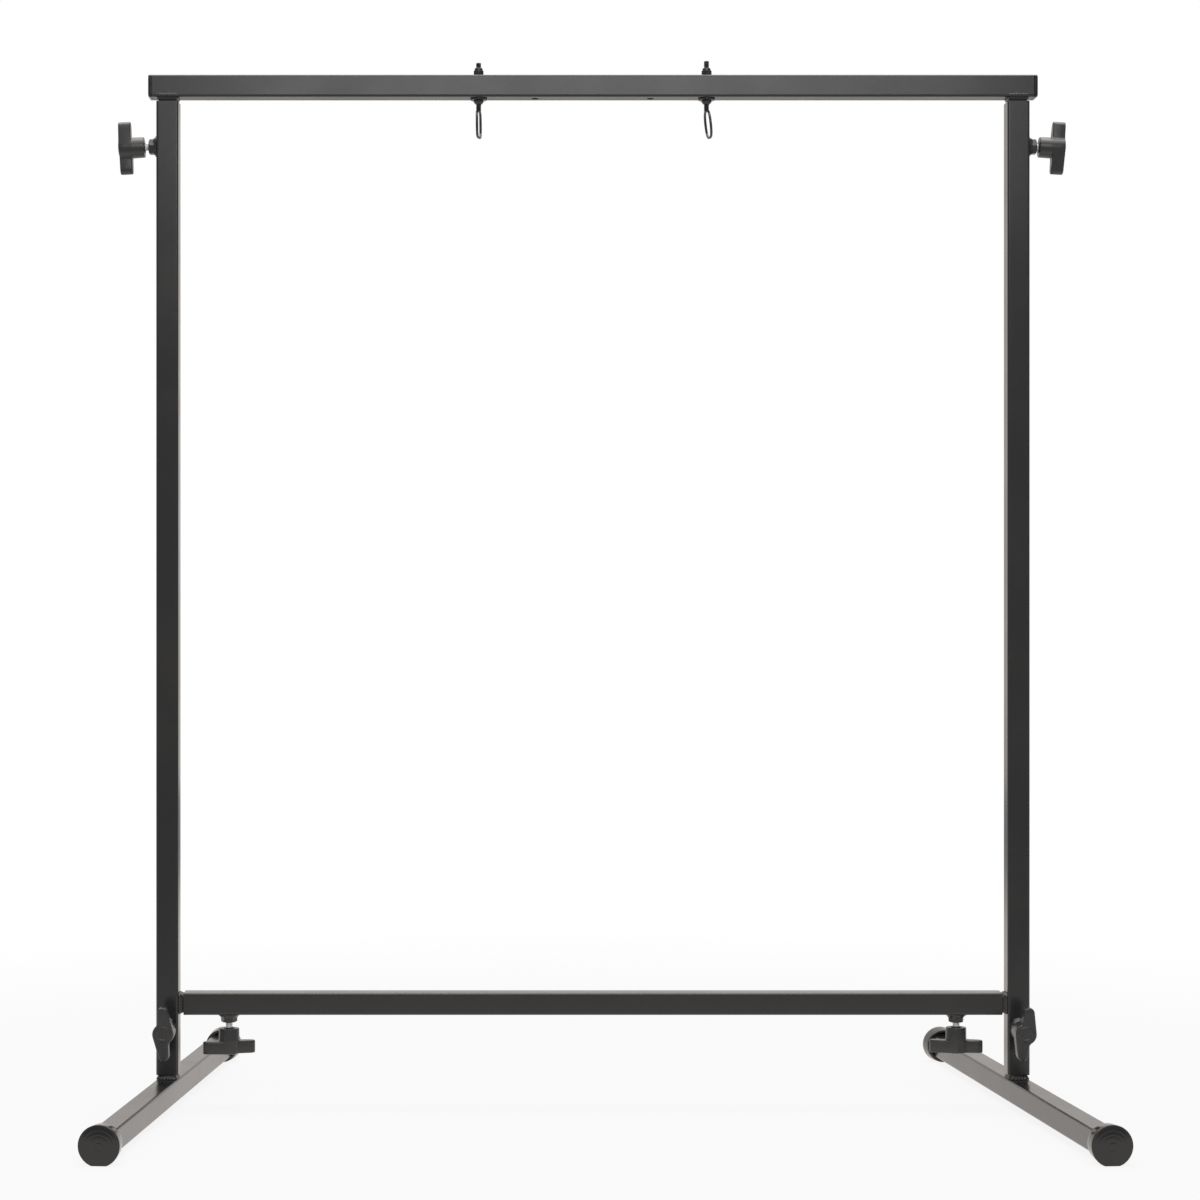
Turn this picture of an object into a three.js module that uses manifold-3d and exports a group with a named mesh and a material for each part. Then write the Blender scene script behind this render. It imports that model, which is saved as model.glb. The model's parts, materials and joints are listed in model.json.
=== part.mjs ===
// Knock-down gong stand: two uprights on twist-in feet, a crossbar slipped over welded stubs,
// and a height-adjustable top frame whose legs slide inside the uprights.
// Millimetres, +Z up, +X to the right of someone facing the stand, front towards -Y.
// The origin is on the floor under the middle of the stand.

import * as THREE from "three";
import { mergeVertices } from "three/addons/utils/BufferGeometryUtils.js";
import Module from "manifold-3d";

const wasm = await Module();
wasm.setup();

// Clearances
const seatGap = 0.3;
const screwClearance = 0.3;
const threadClearance = 0.6;
const cutOverrun = 2;

// Outer square tube: beam, uprights, crossbar and feet
const tubeSize = 25;
const tubeWall = 1.5;
const tubeCorner = 2;

// Inner square tube: sliding legs and stubs
const slideTubeSize = 20;
const slideTubeWall = 1.5;
const slideTubeCorner = 2;

// Overall frame
const beamLength = 1000;
const beamOverhang = 9.1;
const uprightLength = 1095;
const beamLift = 4.5;
const footLift = 5.5;
const crossbarHeight = 80;
const crossbarEndGap = 5.7;

// Sliding legs and stubs, measured from the weld
const legLength = 480;
const crossbarStubLength = 90;
const footStubLength = 100;

// Weld collars at the root of a leg or stub
const collarRootSize = 24.6;
const collarRimSize = 22.8;

// Clamp screws: where each axis crosses its tube
const upperClampDrop = 50;
const crossbarClampInset = 56;
const footClampRise = 52;
const wallHoleDiameter = 10;

// Screw stud
const studDiameter = 8;
const studTipDiameter = 6;
const studInsertDepth = 15;
const threadShown = 5.4;

// Weld nut on the tube wall
const bossAcrossFlats = 16;
const bossHeight = 9.2;
const bossChamfer = 2;
const bossWeldHeight = 4;
const bossWeldLength = 25;
const bossWeldWidth = 20.4;

// Wing knob
const knobHubDiameter = 23.5;
const knobHubEndDiameter = 22.8;
const knobHubLength = 14.2;
const knobHubEdge = 0.6;
const knobCollarDiameter = 12;
const knobCollarHeight = 1;
const wingSpan = 59.3;
const wingThickness = 14.1;
const wingTipDiameter = 11.5;
const wingFilletRadius = 5;
const wingEdge = 1.6;
const knobFaceDiameter = 16.8;
const knobFaceLift = 0.6;

// How far each weld nut and each knob blade is turned about its own axis and how far each screw hangs
// low in its loose thread, in degrees, and what share of the usual length of thread it shows
const screwTurns = {
  left_height: { nut: 18, blade: 90, droop: 3, shownShare: 0.95 },
  right_height: { nut: 0, blade: 90, droop: 3, shownShare: 0.6 },
  left_crossbar: { nut: 30, blade: 75, droop: 0, shownShare: 1.3 },
  right_crossbar: { nut: 15, blade: 96, droop: 0, shownShare: 1.1 },
  left_foot: { nut: 0, blade: 92, droop: 0, shownShare: 1 },
  right_foot: { nut: 30, blade: 81, droop: 0, shownShare: 1 },
};

// Feet
const footTubeLength = 665;
const footTwist = 5.2;
const capDiameter = 43;
const capRimDiameter = 39.4;
const capFlatDepth = 1.5;
const capWeb = 3.5;
const capDome = 1.5;
const capShoulderShare = 0.75;
const capEdge = 1.2;
const capRimWall = 2.2;
const capRimDepth = 16.5;
const capSocketWall = 1.5;
const capSocketDepth = 15;

// Beam end plugs
const plugFlange = 3.9;
const plugBevel = 1.4;
const plugSpigotLength = 16;
const plugSpigotWall = 2;

// Eye hooks and the holes for them
const hookSpacing = 257;
const spareHoleSpacing = 130;
const hookHoleDiameter = 8;
const hookStemDiameter = 6;
const leftStemAbove = 15.2;
const rightStemAbove = 17.3;
const hookNeckTaper = 1.2;
const hookRodDiameter = 2.9;
const eyeOuterDiameter = 33;
const eyeDrop = 45.3;
const eyeStartAngle = 8;
const eyeTipAngle = 28;
const eyeRoundShare = 0.35;
const leftEyeSpread = 2;
const leftEyeLean = 0.3;
const rightEyeSpread = -2.8;
const rightEyeLean = 2.7;
const hookWasherDiameter = 19;
const hookWasherThickness = 1.6;
const hookNutAcrossFlats = 11;
const hookNutHeight = 4.2;
const hookNutRim = 1.4;
const lockNutHeight = 6;
const lockCrownHeight = 3;
const lockCrownDiameter = 9.4;
const hookNutChamfer = 0.7;

// Facets
const cornerSegments = 2;
const holeFacets = 12;
const studFacets = 12;
const hubFacets = 16;
const capFacets = 26;
const outlineSegments = 3;
const rodFacets = 8;
const eyeSteps = 26;
const edgeSteps = 1;

// Heights and places that follow from the sizes above
const footAxisHeight = capDiameter / 2 - capFlatDepth;
const uprightBottom = footAxisHeight + tubeSize / 2 + footLift;
const uprightTop = uprightBottom + uprightLength;
const beamBottom = uprightTop + beamLift;
const beamAxisHeight = beamBottom + tubeSize / 2;
const crossbarAxisHeight = uprightBottom + crossbarHeight;
const uprightX = beamLength / 2 - beamOverhang - tubeSize / 2;
const crossbarLength = 2 * uprightX - tubeSize - 2 * crossbarEndGap;
const crossbarClampX = uprightX - tubeSize / 2 - crossbarClampInset;

const finishes = {
  powderCoat: { color: 0x34353a, roughness: 0.5, metalness: 0.15 },
  moulded: { color: 0x2a2b2e, roughness: 0.62, metalness: 0 },
  zinc: { color: 0xc9cccf, roughness: 0.3, metalness: 1 },
  blackSteel: { color: 0x2e2e30, roughness: 0.38, metalness: 0.7 },
};

function piece(name, geometry, finish) {
  const mesh = new THREE.Mesh(geometry, new THREE.MeshStandardMaterial(finishes[finish]));
  mesh.name = name;
  return mesh;
}

// Solids for joining and cutting

function toSolid(geometry) {
  const bare = geometry.clone();
  bare.deleteAttribute("normal");
  bare.deleteAttribute("uv");
  const merged = mergeVertices(bare);
  const mesh = new wasm.Mesh({
    numProp: 3,
    vertProperties: new Float32Array(merged.attributes.position.array),
    triVerts: new Uint32Array(merged.index.array),
  });
  return new wasm.Manifold(mesh);
}

function toGeometry(solid) {
  const mesh = solid.getMesh();
  const geometry = new THREE.BufferGeometry();
  geometry.setAttribute("position", new THREE.BufferAttribute(mesh.vertProperties, 3));
  geometry.setIndex(new THREE.BufferAttribute(mesh.triVerts, 1));
  geometry.computeVertexNormals();
  return geometry;
}

function join(...geometries) {
  const solids = geometries.map(toSolid);
  return toGeometry(solids.reduce((whole, next) => whole.add(next)));
}

function cut(geometry, ...cutters) {
  const body = toSolid(geometry);
  return toGeometry(cutters.map(toSolid).reduce((rest, next) => rest.subtract(next), body));
}

function common(first, second) {
  return toGeometry(toSolid(first).intersect(toSolid(second)));
}

// Basic forms, each along +Z from zero

function roundedSquare(size, corner, Kind = THREE.Shape) {
  const half = size / 2;
  const flat = half - corner;
  const outline = new Kind();
  outline.absarc(flat, flat, corner, 0, Math.PI / 2);
  outline.absarc(-flat, flat, corner, Math.PI / 2, Math.PI);
  outline.absarc(-flat, -flat, corner, Math.PI, 1.5 * Math.PI);
  outline.absarc(flat, -flat, corner, 1.5 * Math.PI, 2 * Math.PI);
  outline.closePath();
  return outline;
}

function prism(shape, length) {
  return new THREE.ExtrudeGeometry(shape, {
    depth: length,
    bevelEnabled: false,
    curveSegments: cornerSegments,
  });
}

function squareTube(size, wall, corner, length) {
  const section = roundedSquare(size, corner);
  section.holes.push(roundedSquare(size - 2 * wall, Math.max(corner - wall, corner / 4), THREE.Path));
  return prism(section, length);
}

function rod(diameter, length, facets = holeFacets) {
  const geometry = new THREE.CylinderGeometry(diameter / 2, diameter / 2, length, facets);
  geometry.rotateX(Math.PI / 2);
  geometry.translate(0, 0, length / 2);
  return geometry;
}

// A revolve about Z. Each profile point is [radius, height].
function revolve(profile, facets) {
  const geometry = new THREE.LatheGeometry(profile.map(([r, h]) => new THREE.Vector2(r, h)), facets);
  geometry.rotateX(Math.PI / 2);
  return geometry;
}

function hexagon(acrossFlats) {
  const corner = acrossFlats / Math.sqrt(3);
  const points = Array.from({ length: 6 }, (_, i) => {
    const angle = (i * Math.PI) / 3;
    return new THREE.Vector2(corner * Math.cos(angle), corner * Math.sin(angle));
  });
  return new THREE.Shape(points);
}

// Square frustum with rounded edges, from a wide root to a narrower rim: a dressed fillet weld.
function weldCollar(height) {
  const corner = slideTubeCorner + (collarRootSize - slideTubeSize) / 2;
  const root = prism(roundedSquare(collarRootSize, corner), height);
  const share = collarRimSize / collarRootSize;
  const position = root.attributes.position;
  for (let i = 0; i < position.count; i += 1) {
    if (position.getZ(i) > height / 2) {
      position.setXY(i, position.getX(i) * share, position.getY(i) * share);
    }
  }
  return root;
}

// Inner tube with its weld collar. Zero is the face it is welded to.
function weldedSlideTube(length, collarHeight) {
  const skin = prism(roundedSquare(slideTubeSize, slideTubeCorner), length);
  const boreSize = slideTubeSize - 2 * slideTubeWall;
  const bore = prism(roundedSquare(boreSize, slideTubeCorner / 4), length + 2 * cutOverrun);
  bore.translate(0, 0, -cutOverrun);
  const tube = cut(join(skin, weldCollar(collarHeight)), bore);
  tube.translate(0, 0, seatGap);
  return tube;
}

// Outer tube with round holes. Each hole gives its height, the way it faces and whether it goes right
// through.
function drilledTube(length, holes) {
  const cutters = holes.map(({ at, turn, diameter, through }) => {
    const reach = tubeSize / 2 + cutOverrun;
    const drill = rod(diameter, through ? 2 * reach : reach);
    drill.translate(0, 0, through ? -reach : 0);
    drill.rotateX(Math.PI / 2);
    drill.rotateZ(turn);
    drill.translate(0, 0, at);
    return drill;
  });
  return cut(squareTube(tubeSize, tubeWall, tubeCorner, length), ...cutters);
}

// Clamp screws

function chamferedNut(acrossFlats, height, chamfer, bore) {
  const corner = acrossFlats / Math.sqrt(3);
  const drop = chamfer / 2;
  const lens = revolve([[0, -cutOverrun], [corner, -cutOverrun], [corner, height - drop],
    [acrossFlats / 2 - drop, height], [0, height]], holeFacets);
  const hole = rod(bore, height + 2 * cutOverrun, studFacets);
  hole.translate(0, 0, -cutOverrun);
  return cut(common(prism(hexagon(acrossFlats), height), lens), hole);
}

// Hexagon nut with the weld that holds it to the tube wall. The weld runs longer along the tube, local Y.
function weldNutGeometry(nutTurn) {
  const nutRadius = bossAcrossFlats / Math.sqrt(3);
  const weld = revolve([[0, 0], [bossWeldLength / 2, 0], [nutRadius, bossWeldHeight], [0, bossWeldHeight]],
    hubFacets);
  weld.scale(bossWeldWidth / bossWeldLength, 1, 1);
  const bore = studDiameter + 2 * threadClearance;
  const hole = rod(bore, bossHeight + 2 * cutOverrun, studFacets);
  hole.translate(0, 0, -cutOverrun);
  const hexagonNut = chamferedNut(bossAcrossFlats, bossHeight - seatGap, bossChamfer, bore);
  hexagonNut.rotateZ(THREE.MathUtils.degToRad(nutTurn));
  const nut = cut(join(hexagonNut, weld), hole);
  nut.translate(0, 0, seatGap);
  return nut;
}

// Outline of the wing: two blades in point symmetry. Each blade has a round tip, one straight edge tangent
// to the hub circle, and one edge parallel to the blade that runs into the hub in a fillet.
function wingOutline() {
  const hub = knobHubDiameter / 2;
  const tip = wingTipDiameter / 2;
  const reach = wingSpan / 2 - tip;
  const tangent = Math.asin((hub - tip) / reach) - Math.PI / 2;
  const filletY = tip + wingFilletRadius;
  const filletX = Math.sqrt((hub + wingFilletRadius) ** 2 - filletY ** 2);
  const hubContact = Math.atan2(filletY, filletX);
  const outline = new THREE.Shape();
  for (const turn of [0, Math.PI]) {
    const sign = Math.cos(turn);
    outline.absarc(sign * reach, 0, tip, turn + tangent, turn + Math.PI / 2);
    outline.absarc(sign * filletX, sign * filletY, wingFilletRadius,
      turn - Math.PI / 2, turn + hubContact - Math.PI, true);
    outline.absarc(0, 0, hub, turn + hubContact, turn + tangent + Math.PI);
  }
  outline.closePath();
  return outline;
}

// Wing knob along +Z. Zero is the end of the hub next to the nut.
function knobGeometry() {
  const wing = new THREE.ExtrudeGeometry(wingOutline(), {
    depth: wingThickness - 2 * wingEdge,
    curveSegments: outlineSegments,
    bevelThickness: wingEdge,
    bevelSize: wingEdge,
    bevelOffset: -wingEdge,
    bevelSegments: edgeSteps,
  });
  wing.translate(0, 0, knobHubLength + wingEdge);
  const endRadius = knobHubEndDiameter / 2;
  const hub = revolve([[0, 0], [endRadius - knobHubEdge, 0], [endRadius, knobHubEdge],
    [knobHubDiameter / 2, knobHubLength], [knobHubDiameter / 2 - wingEdge, knobHubLength + wingEdge],
    [0, knobHubLength + wingEdge]], hubFacets);
  const face = rod(knobFaceDiameter, knobFaceLift + wingEdge, hubFacets);
  face.translate(0, 0, knobHubLength + wingThickness - wingEdge);
  const collar = rod(knobCollarDiameter, knobCollarHeight + knobHubEdge, hubFacets);
  collar.translate(0, 0, -knobCollarHeight);
  const insertHole = rod(studDiameter + 2 * screwClearance, studInsertDepth + cutOverrun, studFacets);
  insertHole.translate(0, 0, -cutOverrun);
  return cut(join(wing, hub, face, collar), insertHole);
}

// Stud from the bottom of the knob's insert hole to its tip, which stops short of the clamped piece.
// `knobStart` is where the knob's hub begins.
function studGeometry(reach, knobStart) {
  const tip = -(reach - seatGap);
  const chamfer = (studDiameter - studTipDiameter) / 2;
  const top = knobStart + studInsertDepth - seatGap;
  return revolve([[0, tip], [studTipDiameter / 2, tip], [studDiameter / 2, tip + chamfer],
    [studDiameter / 2, top - chamfer], [studTipDiameter / 2, top], [0, top]], studFacets);
}

// How much nearer the edge of a stud's tip comes when stud and clamped wall are out of square
function tipSwing(degrees) {
  return (studTipDiameter / 2) * Math.tan(THREE.MathUtils.degToRad(degrees));
}

// Weld nut, knob and stud in a frame whose Z points out of the tube wall and whose Y runs along `along`.
// The screw tips about the middle of its nut, and reaches in to just short of the clamped piece.
function clamp(name, at, outward, along, reach) {
  const turns = screwTurns[name];
  const seat = new THREE.Group();
  const across = new THREE.Vector3().crossVectors(along, outward);
  seat.quaternion.setFromRotationMatrix(new THREE.Matrix4().makeBasis(across, along, outward));
  seat.position.copy(at);
  seat.add(piece(`${name}_weld_nut`, weldNutGeometry(turns.nut), "powderCoat"));
  const screw = new THREE.Group();
  const droop = THREE.MathUtils.degToRad(turns.droop);
  const pivot = bossHeight / 2;
  screw.rotation.set(droop, 0, THREE.MathUtils.degToRad(turns.blade));
  screw.position.set(0, pivot * Math.sin(droop), pivot * (1 - Math.cos(droop)));
  const knob = piece(`${name}_knob`, knobGeometry(), "moulded");
  knob.position.z = bossHeight + threadShown * turns.shownShare;
  const stud = studGeometry(reach - tipSwing(turns.droop), knob.position.z);
  screw.add(knob, piece(`${name}_stud`, stud, "zinc"));
  seat.add(screw);
  return seat;
}

// Eye hooks

// Centre line of the bent rod: out of the stem, back and round the eye, and up in front to the tip.
// `spread` sets the strands at the back and the front apart sideways, and `lean` carries the bottom aside.
class EyeCurve extends THREE.Curve {
  constructor(spread, lean) {
    super();
    this.spread = spread;
    this.lean = lean;
    this.radius = (eyeOuterDiameter - hookRodDiameter) / 2;
    this.start = THREE.MathUtils.degToRad(eyeStartAngle);
    this.end = 2 * Math.PI - THREE.MathUtils.degToRad(eyeTipAngle);
    this.bend = (this.radius * Math.sin(this.start)) / (1 - Math.sin(this.start));
    this.rise = Math.cos(this.start) * (this.radius + this.bend);
    this.neckLength = this.bend * (Math.PI / 2 - this.start);
    this.ringLength = this.radius * (this.end - this.start);
  }

  // Sideways place at an angle of the ring: a sine with blunt flanks, and the lean
  sideways(angle) {
    const sine = Math.sin(angle);
    const blunt = sine * Math.sqrt((1 + eyeRoundShare ** 2) / (sine ** 2 + eyeRoundShare ** 2));
    return this.spread * blunt + (this.lean * (1 - Math.cos(angle))) / 2;
  }

  getPoint(t, target = new THREE.Vector3()) {
    const along = t * (this.neckLength + this.ringLength);
    if (along < this.neckLength) {
      const turn = along / this.bend;
      const share = along / this.neckLength;
      return target.set(this.sideways(this.start) * share ** 2, this.bend * (1 - Math.cos(turn)),
        this.rise - this.bend * Math.sin(turn));
    }
    const angle = this.start + (along - this.neckLength) / this.radius;
    return target.set(this.sideways(angle), this.radius * Math.sin(angle), this.radius * Math.cos(angle));
  }
}

// Eye bolt with its stem on the Z axis. Zero is the underside of the beam. The stem ends level with the
// inside of the eye, at its top.
function hookGeometry({ above, spread, lean }) {
  const section = new THREE.Shape();
  section.absarc(0, 0, hookRodDiameter / 2, 0, 2 * Math.PI);
  const eye = new THREE.ExtrudeGeometry(section, {
    steps: eyeSteps,
    extrudePath: new EyeCurve(spread, lean),
    curveSegments: rodFacets / 2,
    bevelEnabled: false,
  });
  eye.translate(0, 0, eyeOuterDiameter / 2 - eyeDrop);
  const stemTop = tubeSize + above;
  const stemEnd = eyeOuterDiameter - eyeDrop - hookRodDiameter;
  const stemRadius = hookStemDiameter / 2;
  const rodRadius = hookRodDiameter / 2;
  const chamfer = stemRadius / 4;
  const stem = revolve([[0, stemEnd], [rodRadius, stemEnd], [stemRadius, stemEnd + hookNeckTaper],
    [stemRadius, stemTop - chamfer], [stemRadius - chamfer, stemTop], [0, stemTop]], studFacets);
  return join(stem, eye);
}

function washerGeometry() {
  const inner = hookStemDiameter / 2 + screwClearance;
  const outer = hookWasherDiameter / 2;
  return revolve([[inner, 0], [outer, 0], [outer, hookWasherThickness], [inner, hookWasherThickness],
    [inner, 0]], hubFacets);
}

// Nut under the beam: a thin hexagon rim over a cone that runs down to the stem
function coneNutGeometry() {
  const bore = hookStemDiameter + 2 * screwClearance;
  const corner = hookNutAcrossFlats / Math.sqrt(3);
  const cone = revolve([[0, -cutOverrun], [corner, -cutOverrun], [corner, hookNutRim],
    [(bore + hookNutChamfer) / 2, hookNutHeight], [0, hookNutHeight]], holeFacets);
  const hole = rod(bore, hookNutHeight + 2 * cutOverrun, studFacets);
  hole.translate(0, 0, -cutOverrun);
  return cut(common(prism(hexagon(hookNutAcrossFlats), hookNutHeight), cone), hole);
}

function lockNutGeometry() {
  const bore = hookStemDiameter + 2 * screwClearance;
  const crownRadius = lockCrownDiameter / 2;
  const top = lockNutHeight + lockCrownHeight;
  const root = lockNutHeight - hookNutChamfer;
  const crown = revolve([[0, root], [crownRadius, root], [crownRadius, lockNutHeight + lockCrownHeight / 2],
    [bore / 2 + hookNutChamfer, top], [0, top]], holeFacets);
  const hole = rod(bore, top + 2 * cutOverrun, studFacets);
  hole.translate(0, 0, -cutOverrun);
  const nut = chamferedNut(hookNutAcrossFlats, lockNutHeight, hookNutChamfer, bore);
  return cut(join(nut, crown), hole);
}

// Moulded ends

// Beam end plug along +Z. Zero is the end of the tube.
function beamPlugGeometry() {
  const flange = new THREE.ExtrudeGeometry(roundedSquare(tubeSize, tubeCorner), {
    depth: plugFlange - seatGap - plugBevel,
    curveSegments: cornerSegments,
    bevelThickness: plugBevel,
    bevelSize: plugBevel,
    bevelOffset: -plugBevel,
    bevelSegments: edgeSteps,
  });
  flange.translate(0, 0, seatGap);
  const backPlate = prism(roundedSquare(tubeSize, tubeCorner), plugFlange / 2);
  backPlate.translate(0, 0, seatGap);
  const flangeFront = prism(roundedSquare(2 * tubeSize, tubeCorner), plugFlange);
  flangeFront.translate(0, 0, seatGap);
  const spigotSize = tubeSize - 2 * tubeWall - 2 * seatGap;
  const spigot = squareTube(spigotSize, plugSpigotWall, plugSpigotWall, plugSpigotLength + plugFlange / 2);
  spigot.translate(0, 0, -plugSpigotLength);
  return join(common(flange, flangeFront), backPlate, spigot);
}

// Foot cap along +Z. Zero is the end of the tube. The rim tapers to the back and is hollow there, and a
// square socket in it takes the tube. `down` is the angle of the flat on the rim.
function footCapGeometry(down) {
  const radius = capDiameter / 2;
  const rim = capRimDiameter / 2;
  const inside = rim - capRimWall;
  const bevel = capEdge / 3;
  const top = capWeb + capDome;
  const shell = revolve([[0, 0], [inside, 0], [inside, -capRimDepth], [rim - bevel, -capRimDepth],
    [rim, -capRimDepth + bevel], [radius, capWeb - capEdge], [radius - bevel, capWeb - bevel],
    [radius - capEdge, capWeb], [radius / 2, capWeb + capDome * capShoulderShare], [0, top]], capFacets);
  const socketSize = tubeSize + 2 * seatGap + 2 * capSocketWall;
  const socketCorner = tubeCorner + seatGap + capSocketWall;
  const socket = prism(roundedSquare(socketSize, socketCorner), capSocketDepth + capWeb / 2);
  socket.translate(0, 0, -capSocketDepth);
  const cavity = prism(roundedSquare(tubeSize + 2 * seatGap, tubeCorner + seatGap),
    capSocketDepth + cutOverrun);
  cavity.translate(0, 0, seatGap - capSocketDepth - cutOverrun);
  const flat = prism(roundedSquare(capDiameter, tubeCorner), capRimDepth + top + 2 * cutOverrun);
  flat.translate(0, -capDiameter + capFlatDepth, -capRimDepth - cutOverrun);
  flat.rotateZ(down);
  return cut(join(shell, socket), cavity, flat);
}

// Assembly

const stand = new THREE.Group();
const up = new THREE.Vector3(0, 0, 1);
const front = new THREE.Vector3(0, -1, 0);
const right = new THREE.Vector3(1, 0, 0);
const sides = [["left", -1], ["right", 1]];
const slideReach = (tubeSize - slideTubeSize) / 2;

// Square tube laid along X, its middle at x = 0
function alongX(mesh, length, height) {
  mesh.rotation.y = Math.PI / 2;
  mesh.position.set(-length / 2, 0, height);
  return mesh;
}

// Uprights with the clamp hole near the top of the outer wall and the one near the bottom of the front wall
for (const [side, sign] of sides) {
  const holes = [
    { at: uprightLength - upperClampDrop, turn: (sign * Math.PI) / 2, diameter: wallHoleDiameter },
    { at: footClampRise, turn: 0, diameter: wallHoleDiameter },
  ];
  const upright = piece(`${side}_upright`, drilledTube(uprightLength, holes), "powderCoat");
  upright.position.set(sign * uprightX, 0, uprightBottom);
  stand.add(upright);

  const stub = piece(`${side}_crossbar_stub`,
    weldedSlideTube(crossbarStubLength, crossbarEndGap - 2 * seatGap), "powderCoat");
  stub.rotation.y = (-sign * Math.PI) / 2;
  stub.position.set(sign * (uprightX - tubeSize / 2), 0, crossbarAxisHeight);
  stand.add(stub);

  stand.add(clamp(`${side}_height`,
    new THREE.Vector3(sign * (uprightX + tubeSize / 2), 0, uprightTop - upperClampDrop),
    right.clone().multiplyScalar(sign), up, slideReach));
  stand.add(clamp(`${side}_crossbar`,
    new THREE.Vector3(sign * crossbarClampX, 0, crossbarAxisHeight - tubeSize / 2),
    up.clone().negate(), right, slideReach));

  const twist = THREE.MathUtils.degToRad(footTwist);
  const footReach = tubeSize / 2 - slideTubeSize / 2 / Math.cos(twist) - tipSwing(footTwist);
  stand.add(clamp(`${side}_foot`,
    new THREE.Vector3(sign * uprightX, -tubeSize / 2, uprightBottom + footClampRise),
    front, up, footReach));
}

// Crossbar, with a clamp hole near each end of its underside
const crossbarHoles = sides.map(([, sign]) => (
  { at: crossbarLength / 2 + sign * crossbarClampX, turn: Math.PI / 2, diameter: wallHoleDiameter }
));
stand.add(alongX(piece("crossbar", drilledTube(crossbarLength, crossbarHoles), "powderCoat"),
  crossbarLength, crossbarAxisHeight));

// Top frame: beam, its plugs, the sliding legs and the eye hooks
const topFrame = new THREE.Group();
stand.add(topFrame);
const beamTubeLength = beamLength - 2 * plugFlange;
const beamHoles = [hookSpacing, spareHoleSpacing].flatMap((spacing) => sides.map(([, sign]) => (
  { at: (beamTubeLength + sign * spacing) / 2, turn: Math.PI / 2, diameter: hookHoleDiameter, through: true }
)));
topFrame.add(alongX(piece("beam", drilledTube(beamTubeLength, beamHoles), "powderCoat"),
  beamTubeLength, beamAxisHeight));

const hooks = {
  left: { above: leftStemAbove, spread: leftEyeSpread, lean: leftEyeLean },
  right: { above: rightStemAbove, spread: rightEyeSpread, lean: rightEyeLean },
};
for (const [side, sign] of sides) {
  const plug = piece(`${side}_beam_plug`, beamPlugGeometry(), "moulded");
  plug.rotation.y = (sign * Math.PI) / 2;
  plug.position.set((sign * beamTubeLength) / 2, 0, beamAxisHeight);

  const leg = piece(`${side}_sliding_leg`, weldedSlideTube(legLength, beamLift - 2 * seatGap), "powderCoat");
  leg.rotation.x = Math.PI;
  leg.position.set(sign * uprightX, 0, beamBottom);
  topFrame.add(plug, leg);

  const hookPlace = new THREE.Group();
  hookPlace.position.set((sign * hookSpacing) / 2, 0, beamBottom);
  const hook = piece(`${side}_eye_hook`, hookGeometry(hooks[side]), "blackSteel");
  const washer = piece(`${side}_hook_washer`, washerGeometry(), "blackSteel");
  washer.position.z = -hookWasherThickness - seatGap;
  const nut = piece(`${side}_hook_nut`, coneNutGeometry(), "blackSteel");
  nut.rotation.x = Math.PI;
  nut.position.z = washer.position.z - seatGap;
  const lockNut = piece(`${side}_hook_lock_nut`, lockNutGeometry(), "blackSteel");
  lockNut.position.z = tubeSize + seatGap;
  hookPlace.add(hook, washer, nut, lockNut);
  topFrame.add(hookPlace);
}

// Feet, each turned outwards within the play of its stub
for (const [side, sign] of sides) {
  const foot = new THREE.Group();
  foot.position.set(sign * uprightX, 0, footAxisHeight);
  foot.rotation.z = THREE.MathUtils.degToRad(sign * footTwist);
  stand.add(foot);

  const tube = piece(`${side}_foot_tube`,
    squareTube(tubeSize, tubeWall, tubeCorner, footTubeLength), "powderCoat");
  tube.rotation.x = Math.PI / 2;
  tube.position.y = footTubeLength / 2;
  const stub = piece(`${side}_foot_stub`,
    weldedSlideTube(footStubLength, footLift - 2 * seatGap), "powderCoat");
  stub.position.z = tubeSize / 2;
  foot.add(tube, stub);

  for (const [end, way] of [["front", -1], ["back", 1]]) {
    const cap = piece(`${side}_${end}_foot_cap`, footCapGeometry(way < 0 ? 0 : Math.PI), "moulded");
    cap.rotation.x = (-way * Math.PI) / 2;
    cap.position.y = (way * footTubeLength) / 2;
    foot.add(cap);
  }
}

export default stand;
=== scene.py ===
# Gong stand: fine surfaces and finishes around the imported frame. All lengths are in metres.

import json
import math

import bmesh
import bpy
import numpy as np
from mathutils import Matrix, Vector


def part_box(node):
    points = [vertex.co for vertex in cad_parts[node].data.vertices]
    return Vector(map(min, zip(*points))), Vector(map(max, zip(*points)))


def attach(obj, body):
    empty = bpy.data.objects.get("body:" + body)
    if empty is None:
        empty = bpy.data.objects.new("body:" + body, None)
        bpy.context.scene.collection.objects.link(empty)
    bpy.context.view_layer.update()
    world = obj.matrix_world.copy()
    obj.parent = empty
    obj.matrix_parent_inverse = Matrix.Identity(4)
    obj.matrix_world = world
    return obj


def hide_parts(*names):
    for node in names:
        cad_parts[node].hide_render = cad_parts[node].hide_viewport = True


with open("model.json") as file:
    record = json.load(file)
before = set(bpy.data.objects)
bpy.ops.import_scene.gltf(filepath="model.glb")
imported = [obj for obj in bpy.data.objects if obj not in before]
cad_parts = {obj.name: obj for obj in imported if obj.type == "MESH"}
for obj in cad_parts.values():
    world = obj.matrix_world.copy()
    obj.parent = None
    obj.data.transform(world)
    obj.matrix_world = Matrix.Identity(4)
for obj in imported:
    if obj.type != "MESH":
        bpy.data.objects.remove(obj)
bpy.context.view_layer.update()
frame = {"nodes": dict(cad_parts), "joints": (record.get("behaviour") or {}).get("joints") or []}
mm = 0.001
up = np.array([0.0, 0.0, 1.0])
rightWay = np.array([1.0, 0.0, 0.0])
backWay = np.array([0.0, 1.0, 0.0])
sides = {"left": -1.0, "right": 1.0}
joints = {joint["name"]: joint for joint in frame["joints"]}
print("frame loaded:", len(frame["nodes"]), "nodes")


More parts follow.
